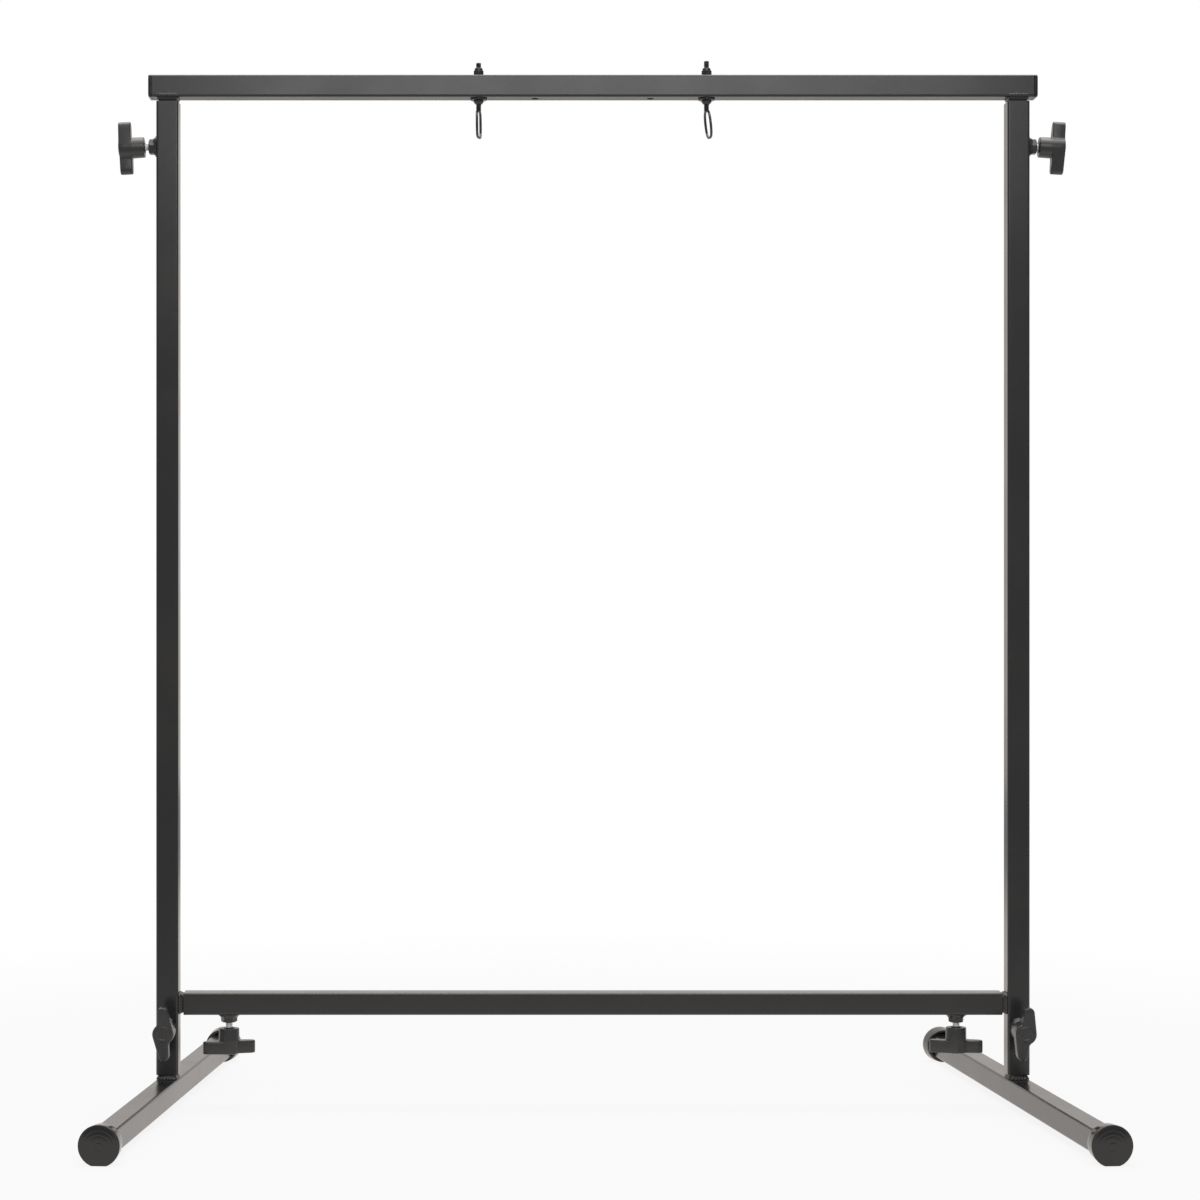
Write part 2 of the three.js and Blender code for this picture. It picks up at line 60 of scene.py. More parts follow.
def newObject(name, data):
    made = bpy.data.objects.new(name, data)
    bpy.context.scene.collection.objects.link(made)
    return made


# Camera

cameraView = {
    "place": (-0.1202, -3.068, 0.545),  # level, looking along +Y
    "lens": 81.6,
    "sensor": 36.0,
    "shiftAcross": 0.095,
    "shiftUp": 0.02,
}


def makeCamera(view):
    data = bpy.data.cameras.new("camera")
    data.lens = view["lens"]
    data.sensor_width = view["sensor"]
    data.shift_x = view["shiftAcross"]
    data.shift_y = view["shiftUp"]
    camera = newObject("camera", data)
    camera.location = view["place"]
    camera.rotation_euler = (math.pi / 2, 0, 0)
    bpy.context.scene.camera = camera


makeCamera(cameraView)


# Node helpers

def newMaterial(name):
    material = bpy.data.materials.new(name)
    material.use_nodes = True
    tree = material.node_tree
    return material, tree, tree.nodes["Principled BSDF"]


def feed(tree, socket, value):
    # Links a node's output to the socket, or sets a plain number or colour on it
    if isinstance(value, bpy.types.NodeSocket):
        tree.links.new(value, socket)
    elif isinstance(value, tuple):
        socket.default_value = (*value, 1.0)
    else:
        socket.default_value = value


def newNode(tree, kind, inputs, **settings):
    # A node of a kind, with its settings and with its inputs fed
    node = tree.nodes.new(kind)
    for name, value in settings.items():
        setattr(node, name, value)
    for socket, value in inputs.items():
        feed(tree, node.inputs[socket], value)
    return node.outputs


def mathNode(tree, operation, first, second):
    return newNode(tree, "ShaderNodeMath", {0: first, 1: second}, operation=operation)[0]


def rangeNode(tree, value, limits):
    # Smooth step from one range to another, given as (from low, from high, to low, to high)
    inputs = {"Value": value, **dict(zip(("From Min", "From Max", "To Min", "To Max"), limits))}
    return newNode(tree, "ShaderNodeMapRange", inputs, interpolation_type="SMOOTHSTEP")["Result"]


def noiseNode(tree, place, noise):
    # Noise given as (waves per metre, detail, roughness)
    inputs = {"Vector": place, **dict(zip(("Scale", "Detail", "Roughness"), noise))}
    return newNode(tree, "ShaderNodeTexNoise", inputs)["Fac"]


def colourMix(tree, factor, first, second):
    # Sockets 6 and 7 of a Mix node are its two colours, and output 2 is the mixed one
    return newNode(tree, "ShaderNodeMix", {"Factor": factor, 6: first, 7: second}, data_type="RGBA")[2]


def coordinates(tree, kind):
    return newNode(tree, "ShaderNodeTexCoord", {})[kind]


# Finishes. Colours are linear. A skin is a list of bumps over one another: (noise, strength, depth).

powderCoat = {
    "colour": (0.024, 0.024, 0.025),
    "patches": (0.034, 0.033, 0.032),  # of dust
    "metallic": 0.0,
    "cloud": (9.0, 4.0, 0.6),
    "patchRange": (0.45, 0.75, 0.0, 0.6),
    "roughRange": (0.3, 0.7, 0.18, 0.25),
    # Soft orange peel under a fine grain
    "skin": [((420.0, 1.0, 0.4), 0.5, 0.02 * mm), ((2600.0, 2.0, 0.6), 0.5, 0.02 * mm)],
}
knobPlastic = {
    "colour": (0.036, 0.036, 0.037),
    "patches": (0.056, 0.056, 0.056),  # of wear
    "metallic": 0.0,
    "cloud": (60.0, 3.0, 0.5),
    "patchRange": (0.52, 0.8, 0.0, 0.5),
    "roughRange": (0.3, 0.7, 0.26, 0.36),
    "skin": [((1900.0, 3.0, 0.55), 0.6, 0.025 * mm)],  # spark-eroded grain
}
capPlastic = {
    **knobPlastic,
    "colour": (0.013, 0.013, 0.014),
    "patches": (0.022, 0.022, 0.022),
    "cloud": (70.0, 3.0, 0.5),
    "roughRange": (0.3, 0.7, 0.12, 0.19),
    "skin": [((1500.0, 3.0, 0.55), 0.6, 0.008 * mm)],
}
brightZinc = {
    "colour": (0.93, 0.94, 0.95),
    "patches": (0.70, 0.71, 0.72),  # of stain
    "metallic": 0.25,
    "cloud": (500.0, 4.0, 0.6),
    "patchRange": (0.45, 0.75, 0.0, 0.7),
    "roughRange": (0.3, 0.7, 0.24, 0.38),
    "skin": [((500.0, 4.0, 0.6), 0.2, 0.03 * mm)],  # from the same clouds
}
blackSteel = {
    "colour": (0.045, 0.045, 0.047),
    "patches": (0.14, 0.135, 0.13),  # where it is rubbed
    "metallic": 0.5,
    "cloud": (320.0, 4.0, 0.6),
    "patchRange": (0.52, 0.78, 0.0, 0.8),
    "roughRange": (0.3, 0.7, 0.16, 0.30),
    "skin": [((320.0, 4.0, 0.6), 0.35, 0.05 * mm)],
}


def makeFinish(name, finish):
    # Clouds of a second colour over the first, the same clouds in the roughness, and the skin
    material, tree, shader = newMaterial(name)
    place = coordinates(tree, "Object")
    cloud = noiseNode(tree, place, finish["cloud"])
    patches = rangeNode(tree, cloud, finish["patchRange"])
    feed(tree, shader.inputs["Base Color"], colourMix(tree, patches, finish["colour"], finish["patches"]))
    feed(tree, shader.inputs["Roughness"], rangeNode(tree, cloud, finish["roughRange"]))
    feed(tree, shader.inputs["Metallic"], finish["metallic"])
    under = {}
    for noise, strength, depth in finish["skin"]:
        inputs = {"Height": noiseNode(tree, place, noise), "Strength": strength, "Distance": depth, **under}
        under = {"Normal": newNode(tree, "ShaderNodeBump", inputs)["Normal"]}
    feed(tree, shader.inputs["Normal"], under["Normal"])
    return material


finishes = {
    "powder_coat": makeFinish("powder_coat_finish", powderCoat),
    "knob_plastic": makeFinish("knob_plastic_finish", knobPlastic),
    "cap_plastic": makeFinish("cap_plastic_finish", capPlastic),
    "zinc": makeFinish("bright_zinc", brightZinc),
    "hook_steel": makeFinish("black_steel", blackSteel),
}
print("finishes made:", len(finishes))


# Surfaces worked out on grids of points

def unit(vector):
    return np.asarray(vector, float) / np.linalg.norm(vector)


def turnAngles(count):
    # Angles of a full turn in equal steps
    return np.linspace(0, 2 * math.pi, count, endpoint=False)


def circleLoop(angles, radius):
    # Circle: radius times cosine and sine of each angle
    return np.stack([radius * np.cos(angles), radius * np.sin(angles)], 1)


def cornerAngles(count, apothem, corner, steps):
    # Angles of the points of a rounded polygon: `steps` along each corner arc, and one more a little outside
    # each end of the arc
    outsideShare = 0.6
    middles = (np.arange(count) + 0.5) * 2 * math.pi / count
    reach = (apothem - corner) / math.cos(math.pi / count)
    sweepAngles = np.linspace(-math.pi / count, math.pi / count, steps + 1)
    local = np.arctan2(corner * np.sin(sweepAngles), reach + corner * np.cos(sweepAngles))
    step = (local[-1] - local[-2]) * outsideShare
    local = np.concatenate([[local[0] - step], local, [local[-1] + step]])
    return (middles[:, None] + local[None, :]).ravel()


def polygonLoop(angles, count, apothem, corner):
    # Regular polygon with rounded corners as a radius for each angle: apothem over cosine along a side,
    # and the far hit of the corner circle within a corner
    share = 2 * math.pi / count
    fromCorner = (angles % share) - share / 2
    reach = (apothem - corner) / math.cos(math.pi / count)
    tangent = math.atan2(corner * math.sin(math.pi / count), reach + corner * math.cos(math.pi / count))
    inside = np.clip(corner ** 2 - (reach * np.sin(fromCorner)) ** 2, 0, None)
    onArc = reach * np.cos(fromCorner) + np.sqrt(inside)
    onSide = apothem / np.cos(share / 2 - np.abs(fromCorner))
    return circleLoop(angles, np.where(np.abs(fromCorner) <= tangent, onArc, onSide))


def hexagonAngles(nut):
    # Angles of the corner points of a nut's hexagon, and of more points at shares of a sixth of a turn
    corners = cornerAngles(6, nut["acrossFlats"] / 2, nut["corner"], nut["cornerSteps"])
    more = (np.arange(6)[:, None] + np.array(nut["moreShares"])).ravel() * math.pi / 3
    return np.sort(np.concatenate([corners, more]) % (2 * math.pi))


def mixedLoop(first, second, share):
    # Loop between two others: their weighted mean, point by point
    return first * (1 - share) + second * share


def stack(levels):
    # Grid of points from (loop, height) pairs, a height being one number or one for each point
    grid = np.zeros((len(levels), len(levels[0][0]), 3))
    for row, (loop, height) in zip(grid, levels):
        row[:, :2] = loop
        row[:, 2] = height
    return grid


def placed(points, origin, across, along):
    # Turns and moves points so that local X and Z lie along `across` and `along`
    xAxis = unit(across)
    zAxis = unit(along)
    yAxis = np.cross(zAxis, xAxis)
    return points @ np.array([xAxis, yAxis, zAxis]) + np.asarray(origin, float)


def quarterArc(steps):
    # Pairs (inward, rise) of a quarter circle, from flat face to side wall
    turn = np.linspace(0, math.pi / 2, steps + 1)
    return list(zip(1 - np.sin(turn), 1 - np.cos(turn)))


def gridMesh(name, grid, ring=False):
    # Quads between neighbouring points. The last level joins the first in a ring, else each end closes on a
    # middle point.
    levels, around = grid.shape[:2]
    i, j = np.meshgrid(np.arange(levels if ring else levels - 1), np.arange(around), indexing="ij")
    row = i * around
    nextRow = (i + 1) % levels * around
    nextPoint = (j + 1) % around
    corners = [row + j, row + nextPoint, nextRow + nextPoint, nextRow + j]
    faces = np.stack(corners, -1).reshape(-1, 4).tolist()
    points = grid.reshape(-1, 3)
    if not ring:
        first = levels * around
        here = np.arange(around)
        after = (here + 1) % around
        top = (levels - 1) * around
        faces += np.stack([np.full(around, first), after, here], 1).tolist()
        faces += np.stack([np.full(around, first + 1), top + here, top + after], 1).tolist()
        points = np.concatenate([points, [grid[0].mean(0)], [grid[-1].mean(0)]])
    mesh = bpy.data.meshes.new(name)
    mesh.from_pydata(points.tolist(), [], faces)
    mesh.validate()
    return mesh


def addPiece(name, mesh, slot, body, node, settings):
    # A piece that rides on a body and stands for a node, smooth but for edges sharper than its settings say
    mesh.shade_smooth()
    mesh.set_sharp_from_angle(angle=math.radians(settings["sharpDegrees"]))
    mesh.materials.append(finishes[slot])
    piece = newObject(name, mesh)
    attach(piece, body)
    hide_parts(node)


def merged(name, meshes):
    # One mesh of several closed shells
    work = bmesh.new()
    for mesh in meshes:
        work.from_mesh(mesh)
    result = bpy.data.meshes.new(name)
    work.to_mesh(result)
    work.free()
    return result


def sweep(points, radii, side, count):
    # Round bar along a line of points: at each, a circle square to the line, seen along it from `side`
    tangents = np.gradient(points, axis=0)
    tangents /= np.linalg.norm(tangents, axis=1)[:, None]
    across = side - (tangents @ side)[:, None] * tangents
    across /= np.linalg.norm(across, axis=1)[:, None]
    upward = np.cross(tangents, across)
    angles = turnAngles(count)
    circle = across[:, None] * np.cos(angles)[:, None] + upward[:, None] * np.sin(angles)[:, None]
    return points[:, None] + circle * np.asarray(radii).reshape(-1, 1, 1)


def centre(node):
    low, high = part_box(node)
    return np.array((low + high) / 2)


def extent(node):
    low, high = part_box(node)
    return np.array(high - low)


def cutAway(mesh, cutter):
    # The mesh less the cutter
    body = newObject("body", mesh)
    tool = newObject("tool", cutter)
    modifier = body.modifiers.new("hole", "BOOLEAN")
    modifier.operation = "DIFFERENCE"
    modifier.solver = "EXACT"
    modifier.object = tool
    result = bpy.data.meshes.new_from_object(body.evaluated_get(bpy.context.evaluated_depsgraph_get()))
    bpy.data.objects.remove(body)
    bpy.data.objects.remove(tool)
    return result


# Square tubes

outerTube = {
    "size": extent("left_upright")[0],
    "wall": 1.5 * mm,
    "corner": 2.4 * mm,
    "cornerSteps": 8,
    "rimEdge": 0.5 * mm,
    "rimSteps": 3,
    "sharpDegrees": 35,
}
innerTube = {**outerTube, "size": 20 * mm, "corner": 2.0 * mm}
holeSizes = {
    "facets": 40,
    "wallDiameter": 10 * mm,
    "hookDiameter": 8 * mm,
    "spareX": 65 * mm,
}
foot = {
    "length": 665 * mm,
    "axisHeight": 20 * mm,
}


def squareLoop(angles, tube, inset):
    # Rounded square of the tube, moved in all round by the inset
    return polygonLoop(angles, 4, tube["size"] / 2 - inset, tube["corner"] - inset)


def tubeGrid(tube, length):
    # Square tube along local Z: a rounded square at each height outside, the same less the wall inside. A
    # last level close to each rim keeps the long faces flat in their shading.
    angles = cornerAngles(4, tube["size"] / 2, tube["corner"], tube["cornerSteps"])
    edge = tube["rimEdge"]
    rim = [(edge * inward, edge * rise) for inward, rise in quarterArc(tube["rimSteps"])] + [(0.0, 2 * edge)]
    levels = [(squareLoop(angles, tube, inset), rise) for inset, rise in rim]
    levels += [(squareLoop(angles, tube, inset), length - rise) for inset, rise in reversed(rim)]
    bore = squareLoop(angles, tube, tube["wall"])
    return stack(levels + [(bore, length), (bore, 0.0)])


def makeTube(name, node, body, start, across, along, length, holes=()):
    # Outer tube, with round holes that are given by start, direction, length and diameter
    grid = placed(tubeGrid(outerTube, length), start, across, along)
    mesh = gridMesh(name, grid, ring=True)
    for holeStart, way, depth, diameter in holes:
        loop = circleLoop(turnAngles(holeSizes["facets"]), diameter / 2)
        side = rightWay if way[1] else backWay
        cylinder = placed(stack([(loop, 0.0), (loop, depth)]), holeStart, side, way)
        mesh = cutAway(mesh, gridMesh("cutter", cylinder))
    addPiece(name, mesh, "powder_coat", body, node, outerTube)


def makeLevelTube(name, node, body, holes):
    # Tube from the left end of its node to the right end
    low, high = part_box(node)
    start = (low.x, 0, centre(node)[2])
    makeTube(name, node, body, start, backWay, rightWay, high.x - low.x, holes)


def makeUprights():
    # Each is drilled behind its two weld nuts
    for side, sign in sides.items():
        low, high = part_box(f"{side}_upright")
        x = centre(f"{side}_upright")[0]
        holes = []
        for nut, outward in (("height", (sign, 0, 0)), ("foot", (0, -1, 0))):
            start = (x, 0, centre(f"{side}_{nut}_weld_nut")[2])
            holes.append((start, outward, outerTube["size"], holeSizes["wallDiameter"]))
        makeTube(f"{side}_upright_tube", f"{side}_upright", "base_frame", (x, 0, low.z), rightWay, up,
                 high.z - low.z, holes)


def makeCrossbar():
    # Drilled from below behind its two weld nuts
    z = centre("crossbar")[2]
    holes = []
    for side in sides:
        start = (centre(f"{side}_crossbar_weld_nut")[0], 0, z)
        holes.append((start, -up, outerTube["size"], holeSizes["wallDiameter"]))
    makeLevelTube("crossbar_tube", "crossbar", "base_frame", holes)


def makeBeam():
    # Drilled through for the two hooks, with two spare holes between them
    z = centre("beam")[2]
    hookX = centre("right_hook_washer")[0]
    size = outerTube["size"]
    holes = []
    for x in (-hookX, -holeSizes["spareX"], holeSizes["spareX"], hookX):
        holes.append(((x, 0, z - size), up, 2 * size, holeSizes["hookDiameter"]))
    makeLevelTube("beam_tube", "beam", "top_frame", holes)


def footWay(side):
    # Direction of a foot from its front end to its back end
    return unit(centre(f"{side}_back_foot_cap") - centre(f"{side}_front_foot_cap"))


def footMiddle(side):
    return np.array([centre(f"{side}_upright")[0], 0, foot["axisHeight"]])


def makeFeet():
    for side in sides:
        way = footWay(side)
        start = footMiddle(side) - way * foot["length"] / 2
        makeTube(f"{side}_foot_bar", f"{side}_foot_tube", f"{side}_foot", start, np.cross(up, way), way,
                 foot["length"])


makeUprights()
makeCrossbar()
makeBeam()
makeFeet()
print("square tubes made")


# Clamps: weld nut, wing knob and stud, in a frame that stands on the tube wall

clamp = {
    "seatGap": 0.3 * mm,
    "nutHeight": 9.2 * mm,
    "threadShown": 5.4 * mm,
    "turns": {
        "left_height": {"nut": 2, "blade": 90, "along": up, "shownShare": 0.95},
        "right_height": {"nut": 0, "blade": 90, "along": up, "shownShare": 0.6},
        "left_crossbar": {"nut": 30, "blade": 75, "along": rightWay, "shownShare": 1.3},
        "right_crossbar": {"nut": 15, "blade": 96, "along": rightWay, "shownShare": 1.1},
        "left_foot": {"nut": 0, "blade": 92, "along": up, "shownShare": 1.0},
        "right_foot": {"nut": 30, "blade": 81, "along": up, "shownShare": 1.0},
    },
}


def clampSeat(name):
    # Where a clamp stands: the point on the wall under its nut, the ways out of the wall and across the
    # tube, the screw's own way and its start at the wall, as it tips about the middle of the nut, the
    # distance from there to the knob, and the way of the knob's blades
    turns = clamp["turns"][name]
    nut = f"{name}_weld_nut"
    screwWay = unit(joints[f"{name}_turn"]["axis"])
    outward = unit(np.round(screwWay))
    wall = centre(nut) - outward * (abs(extent(nut) @ outward) / 2 + clamp["seatGap"])
    pivot = clamp["nutHeight"] / 2
    straight = unit(turns["along"] - (turns["along"] @ screwWay) * screwWay)
    blade = math.radians(turns["blade"])
    return {
        "wall": wall,
        "outward": outward,
        "across": np.cross(turns["along"], outward),
        "nutTurn": math.radians(turns["nut"]),
        "screwWay": screwWay,
        "screwStart": wall + (outward - screwWay) * pivot,
        "knobStart": clamp["nutHeight"] + clamp["threadShown"] * turns["shownShare"],
        "bladeWay": np.cross(straight, screwWay) * math.cos(blade) + straight * math.sin(blade),
    }


weldNut = {
    "acrossFlats": 16 * mm,
    "corner": 0.5 * mm,
    "cornerSteps": 4,
    "moreShares": (0.0, 0.2, 0.8),
    "faceInset": 0.6 * mm,
    "chamfer": 1.24 * mm,
    "bore": 8.6 * mm,
    "boreFlare": 1.12,
    "boreEdge": 0.5 * mm,
    "weldHeight": 4.0 * mm,
    "weldLength": 25 * mm,
    "weldWidth": 20.4 * mm,
    "weldMargin": 0.4 * mm,  # least width round the hexagon
    "weldFoot": 0.5 * mm,
    "footShare": 0.01,
    "slopeShares": np.linspace(0.15, 1, 7),
    "slopePower": 1.15,
    "slopeRuns": 3,
    "slopeSwell": 0.012,
    "land": 0.3 * mm,
    "ripple": 0.035,
    "longWaves": 11,
    "shortWaves": 23,
    "shortShare": 0.6,
    "shortPhase": 1.7,
    "sharpDegrees": 32,
}


def makeWeldNut(name, seat):
    # Hexagon nut whose lower half runs out into a rippled weld: the loop goes in a slightly hollow slope
    # from a long oval on the wall to the hexagon
    nut = weldNut
    half = nut["acrossFlats"] / 2
    turn = seat["nutTurn"] - math.pi / 6
    angles = hexagonAngles(nut)
    world = angles + turn
    spin = np.array([[math.cos(turn), math.sin(turn)], [-math.sin(turn), math.cos(turn)]])
    hexagon = polygonLoop(angles, 6, half, nut["corner"]) @ spin
    reach = np.linalg.norm(hexagon, axis=1)
    longWave = np.sin(nut["longWaves"] * world + len(name))
    shortWave = nut["shortShare"] * np.sin(nut["shortWaves"] * world + nut["shortPhase"])
    oval = np.stack([nut["weldWidth"] / 2 * np.cos(world), nut["weldLength"] / 2 * np.sin(world)], 1)
    ovalReach = np.linalg.norm(oval, axis=1) * (1 + nut["ripple"] * (longWave + shortWave))
    oval = circleLoop(world, np.maximum(ovalReach, reach + nut["weldMargin"]))
    low = clamp["seatGap"]
    slopeLow = low + nut["weldFoot"]
    levels = [(oval, low), (mixedLoop(oval, hexagon, nut["footShare"]), slopeLow)]
    for share in nut["slopeShares"]:
        swell = 1 + nut["slopeSwell"] * math.sin(share * nut["slopeRuns"] * math.pi)
        rise = (nut["weldHeight"] - nut["weldFoot"]) * share ** nut["slopePower"]
        levels.append((mixedLoop(oval, hexagon, share) * swell, slopeLow + rise))
    levels.append((hexagon, low + nut["weldHeight"] + nut["land"]))
    # The chamfer cone meets each radius of the hexagon at its own height
    top = clamp["nutHeight"]
    face = half - nut["faceInset"]
    levels.append((hexagon, top - nut["chamfer"] * (reach - face) / (reach.max() - face)))
    bore = circleLoop(world, nut["bore"] / 2)
    levels += [(circleLoop(world, face), top), (bore * nut["boreFlare"], top), (bore, top - nut["boreEdge"])]
    levels.append((bore, low))
    grid = placed(stack(levels), seat["wall"], seat["across"], seat["outward"])
    mesh = gridMesh(name, grid, ring=True)
    addPiece(f"{name}_welded_nut", mesh, "powder_coat", "base_frame", f"{name}_weld_nut", nut)


wingKnob = {
    "hubDiameter": 23.5 * mm,
    "hubEndDiameter": 22.8 * mm,
    "hubLength": 14.2 * mm,
    "hubEdge": 0.6 * mm,
    "hubDraft": 0.12 * mm,
    "span": 59.3 * mm,
    "thickness": 14.1 * mm,
    "tipDiameter": 11.5 * mm,
    "filletRadius": 5 * mm,
    "outlinePoints": (15, 7, 8, 12, 8),  # on a blade's tip, edge, fillet, hub arc and slope
    "edge": 1.5 * mm,
    "edgeSteps": 4,
    "topEdgeSteps": 5,
    "rootFillet": 0.8 * mm,
    "rootSteps": 3,
    "rootShares": (0.35, 0.75),
    "blend": 2.5 * mm,  # over which a wing's edges grow out of the hub
    "flash": 0.07 * mm,
    "flashLine": ((0, -0.6), (0, -0.25), (1, -0.08), (1, 0.08), (0, 0.25), (0, 0.6)),  # (share out, mm high)
    "collarDiameter": 12 * mm,
    "collarHeight": 1.0 * mm,
    "collarLine": ((0.97, 0.0), (1.0, 0.2), (1.0, 0.85), (1.03, 1.0)),  # (diameter, height) shares
    "bore": 8.3 * mm,
    "boreLine": ((1.0, 0.2), (1.05, 0.0)),  # shares as for the collar
    "boreShare": 0.95,
    "faceShares": (0.3, 0.65, 1.0),
    "discDiameter": 16.8 * mm,
    "discLift": 0.6 * mm,
    "discFoot": 0.25 * mm,
    "discLine": ((0.0, 0.45), (-0.15, 0.85), (-0.45, 1.0)),  # (mm outward, share of the lift)
    "dishDiameter": 11.0 * mm,
    "dishDepth": 0.35 * mm,
    "dishSlope": 0.4 * mm,
    "mergeDistance": 0.004 * mm,
    "sharpDegrees": 40,
}


def arcPoints(middle, radius, start, stop, count):
    # Circle arc about the middle, in equal steps from the start angle to the stop angle
    return circleLoop(np.linspace(start, stop, count), radius) + np.array(middle)


def wingLoop(knob):
    # Outline of the two blades in point symmetry. One blade: round tip, straight edge parallel to its axis,
    # concave fillet into the hub circle, hub arc, and a straight edge tangent to hub and opposite tip.
    hub = knob["hubDiameter"] / 2
    tip = knob["tipDiameter"] / 2
    reach = knob["span"] / 2 - tip
    tangent = math.asin((hub - tip) / reach) - math.pi / 2
    filletY = tip + knob["filletRadius"]
    filletX = math.sqrt((hub + knob["filletRadius"]) ** 2 - filletY ** 2)
    contact = math.atan2(filletY, filletX)
    onTip, onEdge, onFillet, onHub, onSlope = knob["outlinePoints"]
    tipArc = arcPoints((reach, 0), tip, tangent, math.pi / 2, onTip)
    edge = np.linspace((reach, tip), (filletX, tip), onEdge)[1:-1]
    fillet = arcPoints((filletX, filletY), knob["filletRadius"], -math.pi / 2, contact - math.pi, onFillet)
    hubArc = arcPoints((0, 0), hub, contact, tangent + math.pi, onHub)[1:]
    slope = np.linspace(hubArc[-1], -tipArc[0], onSlope)[1:-1]
    blade = np.concatenate([tipArc, edge, fillet, hubArc, slope])
    return np.concatenate([blade, -blade])


def loopNormals(loop):
    # Outward unit normals of a loop that runs anticlockwise, from the chord between neighbours
    chord = np.roll(loop, -1, 0) - np.roll(loop, 1, 0)
    return np.stack([chord[:, 1], -chord[:, 0]], 1) / np.linalg.norm(chord, axis=1)[:, None]


def knobGrid():
    # Wing knob along local Z from the nut end: bore, collar, tapered hub, wing wall with rounded edges, face
    # and the raised disc with its dish. `free` is 0 where wing wall and hub wall are one.
    knob = wingKnob
    loop = wingLoop(knob)
    normals = loopNormals(loop)
    angles = np.arctan2(loop[:, 1], loop[:, 0])
    hub = knob["hubDiameter"] / 2
    free = np.clip((np.linalg.norm(loop, axis=1) - hub) / knob["blend"], 0, 1)
    free = free * free * (3 - 2 * free)
    hubTop = knob["hubLength"]
    top = hubTop + knob["thickness"]
    edge = knob["edge"]
    root = knob["rootFillet"]

    def ring(radius):
        return circleLoop(angles, radius)

    def wing(outward):
        return loop + normals * np.broadcast_to(outward, angles.shape)[:, None]

    levels = [(ring(knob["bore"] / 2), hubTop * knob["boreShare"])]
    for size, line in ((knob["bore"], knob["boreLine"]), (knob["collarDiameter"], knob["collarLine"])):
        levels += [(ring(size / 2 * share), knob["collarHeight"] * (rise - 1)) for share, rise in line]
    for inward, rise in quarterArc(knob["edgeSteps"]):
        levels.append((ring(knob["hubEndDiameter"] / 2 - knob["hubEdge"] * inward), knob["hubEdge"] * rise))
    levels.append((ring(hub - knob["hubDraft"]), hubTop - 2 * root))
    for inward, rise in quarterArc(knob["rootSteps"]):
        levels.append((ring(hub + root * rise * free), hubTop - root * inward))
    for share in knob["rootShares"]:
        levels.append((mixedLoop(ring(hub + root * free), wing(-edge * free), share), hubTop))
    for inward, rise in quarterArc(knob["edgeSteps"]):
        levels.append((wing(-edge * inward * free), hubTop + edge * rise * free))
    for outward, rise in knob["flashLine"]:
        levels.append((wing(knob["flash"] * outward), (hubTop + top) / 2 + rise * mm))
    for inward, rise in reversed(quarterArc(knob["topEdgeSteps"])):
        levels.append((wing(-edge * inward), top - edge * rise))
    disc = knob["discDiameter"] / 2
    for share in knob["faceShares"]:
        levels.append((mixedLoop(wing(-edge), ring(disc + knob["discFoot"]), share), top))
    for outward, share in knob["discLine"]:
        levels.append((ring(disc + outward * mm), top + knob["discLift"] * share))
    dish = knob["dishDiameter"] / 2
    rise = knob["discLift"]
    levels.append((ring(dish + knob["dishSlope"]), top + rise))
    return stack(levels + [(ring(radius), top + rise - knob["dishDepth"]) for radius in (dish, dish / 2)])


def makeKnob(name, seat, body):
    start = seat["screwStart"] + seat["screwWay"] * seat["knobStart"]
    mesh = gridMesh(name, placed(knobGrid(), start, seat["bladeWay"], seat["screwWay"]))
    mergeClose(mesh, wingKnob["mergeDistance"])
    addPiece(f"{name}_wing_knob", mesh, "knob_plastic", body, f"{name}_knob", wingKnob)


def mergeClose(mesh, distance):
    # Merges the points that a collapsed strip leaves on one another
    work = bmesh.new()
    work.from_mesh(mesh)
    bmesh.ops.remove_doubles(work, verts=work.verts, dist=distance)
    work.to_mesh(mesh)
    work.free()


stud = {
    "diameter": 8 * mm,
    "pitch": 1.25 * mm,
    "threadDepth": 0.62 * mm,
    "tipDiameter": 6 * mm,
    "tipDome": 0.15 * mm,
    "inside": 2.0 * mm,  # reaches this far past the tube's outer face
    "insert": 14.2 * mm,
    "sharpDegrees": 50,
}
thread = {
    "facets": 36,
    "pitchSteps": 8,
    "flankSlope": 1.35,
    "crestShare": 0.15,
}


def threadLevels(low, high, bar, limit):
    # Screw thread: a triangle wave of height over pitch less angle over a full turn, flattened at the crests
    # and at the roots, and no wider at a height than the limit there
    angles = turnAngles(thread["facets"])
    levels = []
    for height in np.arange(low, high, bar["pitch"] / thread["pitchSteps"]):
        wave = np.abs(((height / bar["pitch"] - angles / (2 * math.pi)) % 1) * 2 - 1)
        cut = bar["threadDepth"] * np.clip(wave * thread["flankSlope"] - thread["crestShare"], 0, 1)
        levels.append((circleLoop(angles, np.minimum(bar["diameter"] / 2 - cut, limit(height))), height))
    return levels


def makeStud(name, seat, body):
    # Threaded stud from just short of the clamped tube to inside the knob, with both ends turned down
    low = -stud["inside"]
    high = seat["knobStart"] + stud["insert"]
    tip = stud["tipDiameter"] / 2
    tipLoop = circleLoop(turnAngles(thread["facets"]), tip)

    def limit(height):
        return tip + min(height - low, high - height)

    levels = threadLevels(low, high, stud, limit)
    grid = stack([(tipLoop, low - stud["tipDome"]), *levels, (tipLoop, high)])
    mesh = gridMesh(name, placed(grid, seat["screwStart"], seat["across"], seat["screwWay"]))
    addPiece(f"{name}_screw_stud", mesh, "zinc", body, f"{name}_stud", stud)


for clampName in clamp["turns"]:
    clampPlace = clampSeat(clampName)
    makeWeldNut(clampName, clampPlace)
    makeKnob(clampName, clampPlace, f"{clampName}_screw")
    makeStud(clampName, clampPlace, f"{clampName}_screw")
print("clamps made:", len(clamp["turns"]))


# Inner tubes with the weld at their root

